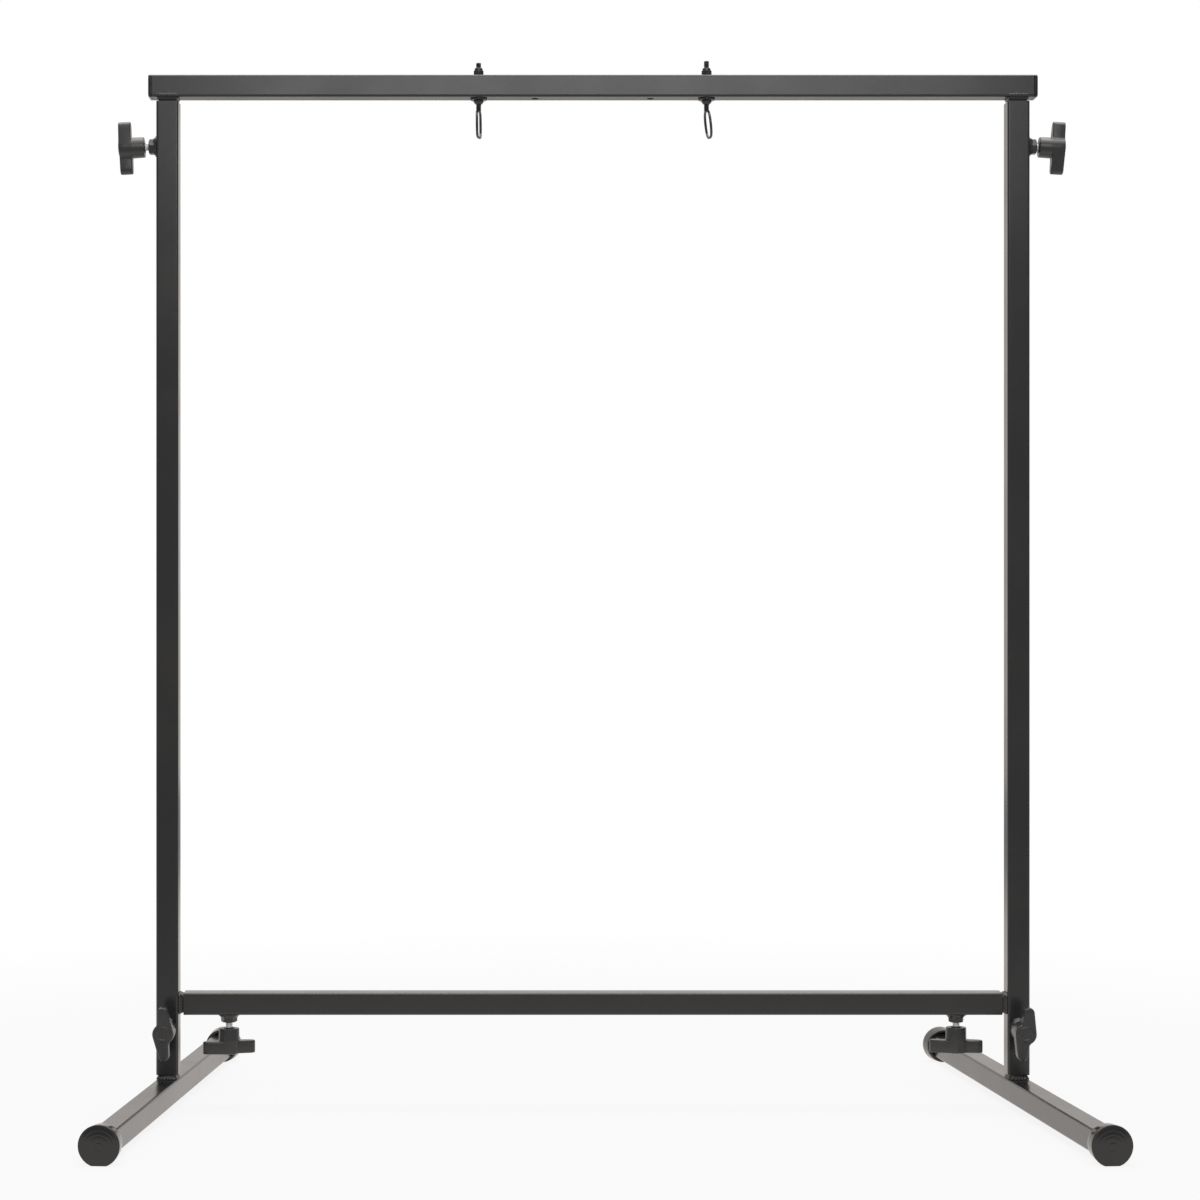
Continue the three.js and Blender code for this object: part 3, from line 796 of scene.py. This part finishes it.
bead = {
    "rootSize": 24.6 * mm,
    "pitch": 3.4 * mm,
    "ripple": 0.9 * mm,
    "roundness": 0.9,  # share of the half circle that each run of the weld shows
    "slant": 0.5,  # runs that the weld shifts by over its height
    "profile": ((0.0, 0.99), (0.15, 0.985), (0.35, 0.95), (0.6, 0.895), (0.85, 0.845)),  # (height, size)
    "morePoints": 192,
    "legWeldHeight": 3.9 * mm,
    "sharpDegrees": 40,
}
stubSizes = {
    "crossbar_stub": (90 * mm, 5.0 * mm),  # (length, height of its weld)
    "foot_stub": (100 * mm, 4.8 * mm),
}


def beadRuns(run):
    # Runs of a weld: half circles side by side, one for each unit of `run`
    return np.sqrt(1 - bead["roundness"] * (run % 1 * 2 - 1) ** 2)


def beadLoop(angles, size, corner, phase):
    # Rounded square scalloped by the runs of the weld: half circles of one pitch along the outline
    loop = polygonLoop(angles, 4, size / 2, corner)
    steps = np.linalg.norm(np.roll(loop, -1, 0) - loop, axis=1)
    around = steps.sum()
    run = (np.cumsum(steps) - steps) / around * round(around / bead["pitch"]) + phase
    inward = bead["ripple"] * (1 - beadRuns(run))
    return loop * (1 - inward / np.linalg.norm(loop, axis=1))[:, None]


def weldedTubeGrid(length, weldHeight):
    # Inner tube along local Z from the face that it is welded to: weld, tube wall, open end and bore
    tube = innerTube
    corners = cornerAngles(4, tube["size"] / 2, tube["corner"], tube["cornerSteps"])
    angles = np.concatenate([corners, turnAngles(bead["morePoints"])])
    angles = np.unique(np.round(angles % (2 * math.pi), 4))
    low = clamp["seatGap"]
    root = tube["corner"] + (bead["rootSize"] - tube["size"]) / 2
    levels = []
    for rise, share in bead["profile"]:
        loop = beadLoop(angles, bead["rootSize"] * share, root * share, bead["slant"] * rise)
        levels.append((loop, low + rise * weldHeight))
    wall = squareLoop(angles, tube, 0)
    edge = tube["rimEdge"]
    levels += [(wall, low + height) for height in (weldHeight, weldHeight + edge, length - 2 * edge)]
    for inward, rise in reversed(quarterArc(tube["rimSteps"])):
        levels.append((squareLoop(angles, tube, edge * inward), low + length - edge * rise))
    bore = squareLoop(angles, tube, tube["wall"])
    return stack(levels + [(bore, low + length), (bore, low)])


beamBead = {
    "halfLength": 12 * mm,
    "points": 97,
    "facets": 20,
    "radius": 2.3 * mm,
    "valleyShare": 0.74,  # of the radius, between two runs
    "endLength": 12.2 * mm,
    "endPower": 6,
    "endLeast": 0.02,
    "flatness": 0.65,
    "inFront": 12.1 * mm,  # from the beam's axis
    "height": 2.1 * mm,    # over its lower face
}


def beamWeld(x, y, height):
    # Scalloped bead across the beam's lower edge: a flattened round bar whose radius swells with every run
    weld = beamBead
    line = np.linspace(-weld["halfLength"], weld["halfLength"], weld["points"])
    ends = np.sqrt(np.clip(1 - (line / weld["endLength"]) ** weld["endPower"], weld["endLeast"], 1))
    valley = weld["valleyShare"]
    radii = weld["radius"] * (valley + (1 - valley) * beadRuns(line / bead["pitch"])) * ends
    points = np.stack([x + line, np.full_like(line, y), np.full_like(line, height)], 1)
    grid = sweep(points, radii, backWay, weld["facets"])
    grid[:, :, 1] = y + (grid[:, :, 1] - y) * weld["flatness"]
    return gridMesh("beam_weld", grid)


def makeLegs():
    # Each leg hangs from the beam, with a bead in front and one at the back
    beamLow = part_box("beam")[0].z
    for side in sides:
        node = f"{side}_sliding_leg"
        length = extent(node)[2]
        x = centre(node)[0]
        tube = placed(weldedTubeGrid(length, bead["legWeldHeight"]), (x, 0, beamLow), rightWay, -up)
        meshes = [gridMesh("leg", tube, ring=True)]
        for y in (-beamBead["inFront"], beamBead["inFront"]):
            meshes.append(beamWeld(x, y, beamLow + beamBead["height"]))
        addPiece(f"{side}_leg_tube", merged(node, meshes), "powder_coat", "top_frame", node, bead)


def makeStub(side, kind, body, start, across, along):
    node = f"{side}_{kind}"
    grid = placed(weldedTubeGrid(*stubSizes[kind]), start, across, along)
    addPiece(f"{node}_tube", gridMesh(node, grid, ring=True), "powder_coat", body, node, bead)


def makeStubs():
    half = outerTube["size"] / 2
    for side, sign in sides.items():
        wall = (centre(f"{side}_upright")[0] - sign * half, 0, centre(f"{side}_crossbar_stub")[2])
        top = (*centre(f"{side}_foot_stub")[:2], centre(f"{side}_foot_tube")[2] + half)
        makeStub(side, "crossbar_stub", "base_frame", wall, backWay, -sign * rightWay)
        makeStub(side, "foot_stub", f"{side}_foot", top, np.cross(up, footWay(side)), up)


makeLegs()
makeStubs()
print("inner tubes made")


# Eye hooks with their washers and nuts

eyeHook = {
    "diameter": 6 * mm,  # of the stem
    "stemFoot": 0.1 * mm,
    "stemChamfer": 0.8 * mm,
    "pitch": 1.0 * mm,
    "threadDepth": 0.5 * mm,
    "neckTaper": 1.2 * mm,
    "rodDiameter": 2.9 * mm,
    "rodFacets": 24,
    "tipShares": (0.985, 0.93, 0.78),  # of the rod's radius, at its last points
    "eyeDiameter": 33 * mm,
    "drop": 45.3 * mm,
    "startDegrees": 8,
    "tipDegrees": 28,
    "roundShare": 0.35,
    "neckSteps": 14,
    "neckShare": 0.9,  # of the ring's first step aside, at the end of the neck
    "ringSteps": 150,
    "sharpDegrees": 50,
    "left": {"above": 15.2 * mm, "spread": 2.0 * mm, "lean": 0.3 * mm},
    "right": {"above": 17.3 * mm, "spread": -1.5 * mm, "lean": 3.7 * mm},
}


def eyeLine(hook, bend):
    # Centre line from inside the stem, back and round the eye and up in front to the tip. The neck is an arc
    # that meets the ring smoothly. Sideways it follows a sine with blunt flanks, and the bottom leans aside.
    radius = (hook["eyeDiameter"] - hook["rodDiameter"]) / 2
    start = math.radians(hook["startDegrees"])
    end = 2 * math.pi - math.radians(hook["tipDegrees"])
    neck = radius * math.sin(start) / (1 - math.sin(start))
    rise = math.cos(start) * (radius + neck)
    turn = np.linspace(0, math.pi / 2 - start, hook["neckSteps"])[:-1]
    angle = np.linspace(start, end, hook["ringSteps"])

    def sideways(at):
        sine = np.sin(at)
        blunt = sine * np.sqrt((1 + hook["roundShare"] ** 2) / (sine ** 2 + hook["roundShare"] ** 2))
        return bend["spread"] * blunt + bend["lean"] * (1 - np.cos(at)) / 2

    aside = sideways(start) * (turn / turn[-1]) ** 2 * hook["neckShare"]
    first = np.stack([aside, neck * (1 - np.cos(turn)), rise - neck * np.sin(turn)], 1)
    ring = np.stack([sideways(angle), radius * np.sin(angle), radius * np.cos(angle)], 1)
    return np.concatenate([first, ring])


def makeEyeHook(side, x, beamLow, beamHigh):
    # Bent eye below the beam, and a threaded stem that necks down into it
    hook = eyeHook
    bend = hook[side]
    eyeMiddle = beamLow + hook["eyeDiameter"] / 2 - hook["drop"]
    line = eyeLine(hook, bend) + np.array([x, 0, eyeMiddle])
    rod = hook["rodDiameter"] / 2
    radii = np.full(len(line), rod)
    radii[-len(hook["tipShares"]):] = rod * np.array(hook["tipShares"])
    eye = gridMesh("eye", sweep(line, radii, rightWay, hook["rodFacets"]))
    low = eyeMiddle + hook["eyeDiameter"] / 2 - hook["rodDiameter"]
    high = beamHigh + bend["above"]
    full = hook["diameter"] / 2
    tip = full - hook["stemChamfer"]
    angles = turnAngles(thread["facets"])

    def limit(height):
        return min(rod + (full - rod) * (height - low) / hook["neckTaper"], tip + high - height)

    levels = threadLevels(low + hook["stemFoot"], high, hook, limit)
    grid = stack([(circleLoop(angles, rod), low), *levels, (circleLoop(angles, tip), high)])
    stem = gridMesh("stem", placed(grid, (x, 0, 0), rightWay, up))
    node = f"{side}_eye_hook"
    addPiece(f"{side}_bent_hook", merged(node, [stem, eye]), "hook_steel", "top_frame", node, hook)


hookNut = {
    "acrossFlats": 11 * mm,
    "corner": 0.4 * mm,
    "cornerSteps": 4,
    "moreShares": (-0.3, -0.15, 0.0, 0.15, 0.3),
    "bore": 6.3 * mm,
    "boreFlare": 1.06,
    "boreEdge": 0.3 * mm,
    "height": 4.2 * mm,
    "seatFlare": 0.97,
    "seatEdge": 0.15 * mm,
    "rim": 1.4 * mm,
    "coneEnd": 7.3 * mm,
    "coneEdge": (0.2 * mm, 0.25 * mm),  # (outward, down)
    "sharpDegrees": 30,
}
lockNut = {
    **hookNut,
    "height": 6.0 * mm,
    "faceInset": 0.2 * mm,
    "chamferSlope": 0.58,
    "crownHeight": 3.0 * mm,
    "crownDiameter": 9.4 * mm,
    "crownEnd": 7.4 * mm,
    "crownStraight": 0.4,  # share of its height
    "crownFoot": (0.15 * mm, 0.2 * mm),  # (outward, up)
    "crownSteps": 7,
}
washer = {
    "diameter": 19 * mm,
    "thickness": 1.6 * mm,
    "play": 0.1 * mm,
    "edge": 0.3 * mm,
    "softShare": 0.3,
    "sharpShare": 0.4,
    "facets": 64,
}


def coneNutGrid():
    # Hexagon rim, and a cone that meets each radius of the hexagon at its own height
    nut = hookNut
    angles = hexagonAngles(nut)
    hexagon = polygonLoop(angles, 6, nut["acrossFlats"] / 2, nut["corner"])
    reach = np.linalg.norm(hexagon, axis=1)
    end = nut["coneEnd"] / 2
    top = nut["height"]
    outward, down = nut["coneEdge"]
    onCone = nut["rim"] + (reach.max() - reach) / (reach.max() - end) * (top - nut["rim"])
    bore = circleLoop(angles, nut["bore"] / 2)
    return stack([(hexagon * nut["seatFlare"], 0.0), (hexagon, nut["seatEdge"]), (hexagon, onCone),
                  (circleLoop(angles, end + outward), top - down), (circleLoop(angles, end), top),
                  (bore * nut["boreFlare"], top), (bore, top - nut["boreEdge"]), (bore, 0.0)])


def lockNutGrid():
    # Hexagon with chamfered corners and a round crown over it that closes on the thread
    nut = lockNut
    angles = hexagonAngles(nut)
    half = nut["acrossFlats"] / 2
    hexagon = polygonLoop(angles, 6, half, nut["corner"])
    face = half - nut["faceInset"]
    chamfer = (np.linalg.norm(hexagon, axis=1) - face) * nut["chamferSlope"]
    crown = nut["crownDiameter"] / 2
    outward, rise = nut["crownFoot"]
    top = nut["height"]
    levels = [(circleLoop(angles, face), 0.0), (hexagon, chamfer), (hexagon, top - chamfer)]
    for radius, height in ((face, top), (crown + outward, top), (crown, top + rise)):
        levels.append((circleLoop(angles, radius), height))
    straight = nut["crownHeight"] * nut["crownStraight"]
    for turn in np.linspace(0, math.pi / 2, nut["crownSteps"]):
        radius = crown - (crown - nut["crownEnd"] / 2) * (1 - math.cos(turn))
        height = top + straight + (nut["crownHeight"] - straight) * math.sin(turn)
        levels.append((circleLoop(angles, radius), height))
    bore = circleLoop(angles, nut["bore"] / 2)
    return stack(levels + [(bore, top + nut["crownHeight"]), (bore, 0.0)])


def washerGrid():
    # Flat ring: a profile of (radius, height) points, stamped round at its outer edge, turned about the axis
    outer = washer["diameter"] / 2
    inner = hookNut["bore"] / 2 + washer["play"]
    edge = washer["edge"]
    thick = washer["thickness"]
    soft = edge * washer["softShare"]
    sharp = edge * washer["sharpShare"]
    profile = [(outer - edge, 0.0), (outer - soft, soft), (outer, edge), (outer, thick - sharp),
               (outer - sharp, thick), (inner + edge, thick), (inner, thick - edge), (inner, edge),
               (inner + edge, 0.0)]
    angles = turnAngles(washer["facets"])
    return stack([(circleLoop(angles, radius), height) for radius, height in profile])


def makeHooks():
    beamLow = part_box("beam")[0].z
    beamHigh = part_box("beam")[1].z
    gap = clamp["seatGap"]
    washerLow = beamLow - gap - washer["thickness"]
    fittings = [
        ("hook_washer", washerGrid(), washerLow, up),
        ("hook_nut", coneNutGrid(), washerLow - gap, -up),
        ("hook_lock_nut", lockNutGrid(), beamHigh + gap, up),
    ]
    for side in sides:
        x = centre(f"{side}_hook_washer")[0]
        makeEyeHook(side, x, beamLow, beamHigh)
        for kind, grid, height, way in fittings:
            mesh = gridMesh(kind, placed(grid, (x, 0, height), rightWay, way), ring=True)
            node = f"{side}_{kind}"
            addPiece(f"{node}_turned", mesh, "hook_steel", "top_frame", node, hookNut)


makeHooks()
print("eye hooks made")


# Moulded ends

footCap = {
    "diameter": 43 * mm,
    "points": 192,
    "web": 3.5 * mm,
    "edge": 0.7 * mm,
    "edgeSteps": 5,
    "dome": 1.5 * mm,
    "domeShares": np.linspace(0.93, 0.02, 44),
    "rings": ((15.2, 0.12), (10.4, 0.10), (4.2, 0.16)),  # (radius, depth) of the turned rings in mm
    "ringWidth": 0.45,
    "taperShares": (0.25, 0.5, 0.75),
    "rimDiameter": 40.2 * mm,
    "rimInside": 34.4 * mm,
    "rimEdge": 1.1 * mm,
    "rimEdgeSteps": 3,
    "rimDepth": 16.5 * mm,
    "rimLip": (0.2 * mm, 0.4 * mm),  # (outward, up)
    "floorFlare": 0.97,
    "socketDepth": 15 * mm,
    "socketWall": 1.5 * mm,
    "socketLip": (0.2 * mm, 0.4 * mm),
    "socketEdge": (0.05 * mm, 0.3 * mm),
    "leastWall": 0.3 * mm,    # between the cavity and the pocket behind the face
    "leastPocket": 0.1 * mm,  # width of the pocket
    "pocketBlend": 0.5 * mm,  # width over which it gets its depth
    "sharpDegrees": 30,
}


def capLoop(angles, radius):
    # Circle with the part below the flat pressed up onto it
    loop = circleLoop(angles, radius)
    loop[:, 1] = np.maximum(loop[:, 1], -foot["axisHeight"])
    return loop


def capGrid():
    # From the bottom of the square socket: socket, pocket behind the face, rim, tapered side and domed face.
    # The pocket has no depth where socket and rim are one.
    cap = footCap
    angles = turnAngles(cap["points"]) + math.pi / cap["points"]
    gap = clamp["seatGap"]

    def squareReach(outward):
        return np.linalg.norm(squareLoop(angles, outerTube, -outward), axis=1)

    cavity = squareReach(gap)
    inside = np.maximum(cap["rimInside"] / 2, cavity + cap["leastWall"])
    socket = np.minimum(squareReach(gap + cap["socketWall"]), inside - cap["leastPocket"])
    mouth = -cap["socketDepth"]
    pocket = mouth * (1 - np.clip((inside - socket - cap["leastPocket"]) / cap["pocketBlend"], 0, 1))
    rim = cap["rimDiameter"] / 2
    rear = -cap["rimDepth"]
    radius = cap["diameter"] / 2
    top = cap["web"]
    edge = cap["edge"]
    rimEdge = cap["rimEdge"]
    lipOut, lipUp = cap["socketLip"]
    edgeIn, edgeUp = cap["socketEdge"]
    profile = [(cavity * cap["floorFlare"], gap), (cavity, 0.0), (cavity, mouth + lipUp),
               (cavity + lipOut, mouth), (socket - edgeIn, mouth),
               (socket, np.minimum(mouth + edgeUp, pocket)), (socket, pocket)]
    lipOut, lipUp = cap["rimLip"]
    profile += [(inside, pocket), (inside, rear + lipUp), (inside + lipOut, rear)]
    for inward, rise in quarterArc(cap["rimEdgeSteps"]):
        profile.append((rim - rimEdge * inward, rear + rimEdge * rise))
    for share in cap["taperShares"]:
        sideLow = rear + rimEdge
        profile.append((rim + (radius - rim) * share, sideLow + (top - edge - sideLow) * share))
    for inward, rise in reversed(quarterArc(cap["edgeSteps"])):
        profile.append((radius - edge * inward, top - edge * rise))
    for share in cap["domeShares"]:
        height = top + cap["dome"] * (1 - (share / cap["domeShares"][0]) ** 2)
        for ring, depth in cap["rings"]:
            height -= depth * mm * math.exp(-((radius * share / mm - ring) / cap["ringWidth"]) ** 2)
        profile.append((radius * share, height))
    return stack([(capLoop(angles, reach), height) for reach, height in profile])


def makeFootCaps():
    grid = capGrid()
    for side in sides:
        way = footWay(side)
        for end, outward in (("front", -way), ("back", way)):
            start = footMiddle(side) + outward * foot["length"] / 2
            mesh = gridMesh("cap", placed(grid, start, np.cross(up, outward), outward))
            node = f"{side}_{end}_foot_cap"
            addPiece(f"{side}_{end}_round_cap", mesh, "cap_plastic", f"{side}_foot", node, footCap)


plug = {
    "cornerSteps": 10,
    "flange": 3.9 * mm,
    "flangeEdge": 0.1 * mm,
    "bevel": 1.4 * mm,
    "bevelSteps": 6,
    "bevelRounding": 0.6,
    "faceShares": (0.8, 0.5, 0.2),
    "faceCorner": 2 * mm,
    "spigotLength": 16 * mm,
    "spigotWall": 2 * mm,
    "spigotCorner": 2 * mm,
    "spigotLead": (0.6 * mm, 1 * mm),  # (inward, along)
    "leadCorner": 1.5 * mm,
    "boreCorner": 0.6 * mm,
    "sharpDegrees": 30,
}


def plugGrid():
    # From the bottom of the hollow spigot: bore, spigot, flange with a rounded bevel and flat face. A level
    # is a rounded square, given as (half size, corner, height).
    half = outerTube["size"] / 2
    corner = outerTube["corner"]
    gap = clamp["seatGap"]
    spigot = half - outerTube["wall"] - gap
    bore = spigot - plug["spigotWall"]
    end = -plug["spigotLength"]
    leadIn, leadAlong = plug["spigotLead"]
    flangeEdge = plug["flangeEdge"]
    bevel = plug["bevel"]
    squares = [(bore, plug["boreCorner"], gap), (bore, plug["boreCorner"], end),
               (spigot - leadIn, plug["leadCorner"], end), (spigot, plug["spigotCorner"], end + leadAlong),
               (spigot, plug["spigotCorner"], gap), (half - flangeEdge, corner, gap),
               (half, corner, gap + flangeEdge)]
    for inward, rise in reversed(quarterArc(plug["bevelSteps"])):
        rounding = corner + bevel * inward * plug["bevelRounding"]
        squares.append((half - bevel * inward, rounding, plug["flange"] - bevel * rise))
    for share in plug["faceShares"]:
        squares.append(((half - bevel) * share, plug["faceCorner"] * share, plug["flange"]))
    angles = cornerAngles(4, half, corner, plug["cornerSteps"])
    return stack([(polygonLoop(angles, 4, size, rounding), height) for size, rounding, height in squares])


def makePlugs():
    grid = plugGrid()
    low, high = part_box("beam")
    z = centre("beam")[2]
    for side, x in (("left", low.x), ("right", high.x)):
        mesh = gridMesh("plug", placed(grid, (x, 0, z), backWay, sides[side] * rightWay))
        addPiece(f"{side}_end_plug", mesh, "cap_plastic", "top_frame", f"{side}_beam_plug", plug)


makeFootCaps()
makePlugs()
print("moulded ends made")


# Floor, light and backdrop

studio = {
    "floorHalf": 6.0,
    "floorColour": (0.82, 0.82, 0.82),
    "glow": (0.7, 1.9, 0.88, 1.0),  # share of plain white in the seen floor, by distance from the stand
    "mirrorFront": (-1.3, -0.5, 0.38, 1.0),  # level of the reflected floor in front of the stand, by Y
    "mirrorBack": (1.5, 3.5, 1.0, 0.36),  # and far behind it
    "wall": (0.35, 0.75, 0.375, 0.85),  # level of the reflected room and backdrop, by the ray's Y
    "sky": (0.55, 0.9, 0.0, 3.0),  # and of what is overhead, by its Z
    "diffuseLevel": 0.42,
    "white": (1.0, 1.0, 1.0),
    "warmWhite": (1.04, 0.985, 0.94),  # as reflections see it
}


def rayKinds(tree):
    # What asks for the light: the camera, or a reflection
    path = newNode(tree, "ShaderNodeLightPath", {})
    mirror = mathNode(tree, "MAXIMUM", path["Is Glossy Ray"], path["Is Transmission Ray"])
    return path["Is Camera Ray"], mirror


def splitVector(tree, vector):
    return newNode(tree, "ShaderNodeSeparateXYZ", {0: vector})


def floorMaterial(light):
    # Pale floor that is nearly plain white to the camera and has its own level in reflections
    material, tree, shader = newMaterial("studio_floor")
    tree.nodes.remove(shader)
    paint = newNode(tree, "ShaderNodeBsdfDiffuse", {"Color": light["floorColour"]})[0]
    camera, mirror = rayKinds(tree)
    place = coordinates(tree, "Object")
    distance = newNode(tree, "ShaderNodeVectorMath", {0: place}, operation="LENGTH")["Value"]
    white = mathNode(tree, "MULTIPLY", camera, rangeNode(tree, distance, light["glow"]))
    depth = splitVector(tree, place)["Y"]
    front = mathNode(tree, "MULTIPLY", mirror, rangeNode(tree, depth, light["mirrorFront"]))
    reflected = mathNode(tree, "MULTIPLY", front, rangeNode(tree, depth, light["mirrorBack"]))
    glow = newNode(tree, "ShaderNodeEmission", {
        "Strength": mathNode(tree, "ADD", camera, reflected),
        "Color": colourMix(tree, mirror, light["white"], light["warmWhite"]),
    })[0]
    share = mathNode(tree, "ADD", white, mirror)
    surface = newNode(tree, "ShaderNodeMixShader", {0: share, 1: paint, 2: glow})[0]
    feed(tree, tree.nodes["Material Output"].inputs["Surface"], surface)
    return material


def makeFloor(light):
    half = light["floorHalf"]
    mesh = bpy.data.meshes.new("floor")
    corners = [(-half, -half, 0), (half, -half, 0), (half, half, 0), (-half, half, 0)]
    mesh.from_pydata(corners, [], [(0, 1, 2, 3)])
    mesh.materials.append(floorMaterial(light))
    floor = newObject("floor", mesh)


def makeWorld(light):
    # White to the camera and dimmer on matt surfaces. Reflections see warm white behind the stand, a
    # brighter sky overhead and a dim room behind the camera.
    world = bpy.data.worlds.new("studio")
    world.use_nodes = True
    tree = world.node_tree
    camera, mirror = rayKinds(tree)
    direction = splitVector(tree, coordinates(tree, "Generated"))
    wall = rangeNode(tree, direction["Y"], light["wall"])
    sky = rangeNode(tree, direction["Z"], light["sky"])
    reflected = mathNode(tree, "MULTIPLY", mirror, mathNode(tree, "MAXIMUM", wall, sky))
    matt = mathNode(tree, "SUBTRACT", 1.0, mirror)
    level = mathNode(tree, "ADD", mathNode(tree, "MULTIPLY", matt, light["diffuseLevel"]), reflected)
    unseen = mathNode(tree, "MULTIPLY", mathNode(tree, "SUBTRACT", 1.0, camera), level)
    background = tree.nodes["Background"]
    feed(tree, background.inputs["Strength"], mathNode(tree, "ADD", unseen, camera))
    feed(tree, background.inputs["Color"], colourMix(tree, mirror, light["white"], light["warmWhite"]))
    bpy.context.scene.world = world


lamps = {
    "front": {"place": (0.1, -3.0, 2.12), "aim": (0.1, 0, 1.1), "size": (1.8, 1.25), "power": 21.5},
    "top": {"place": (0.0, 0.2, 2.9), "aim": (0, 0, 0.6), "size": (2.2, 1.2), "power": 28.0},
}


def makeLamp(name, lamp):
    data = bpy.data.lights.new(name, "AREA")
    data.shape = "RECTANGLE"
    data.size = lamp["size"][0]
    data.size_y = lamp["size"][1]
    data.energy = lamp["power"]
    light = newObject(name, data)
    light.location = lamp["place"]
    direction = Vector(lamp["aim"]) - Vector(lamp["place"])
    light.rotation_euler = direction.to_track_quat("-Z", "Y").to_euler()


makeFloor(studio)
makeWorld(studio)
for lampName, lampSettings in lamps.items():
    makeLamp(lampName, lampSettings)
bpy.context.scene.view_settings.view_transform = "Standard"
print("studio made")
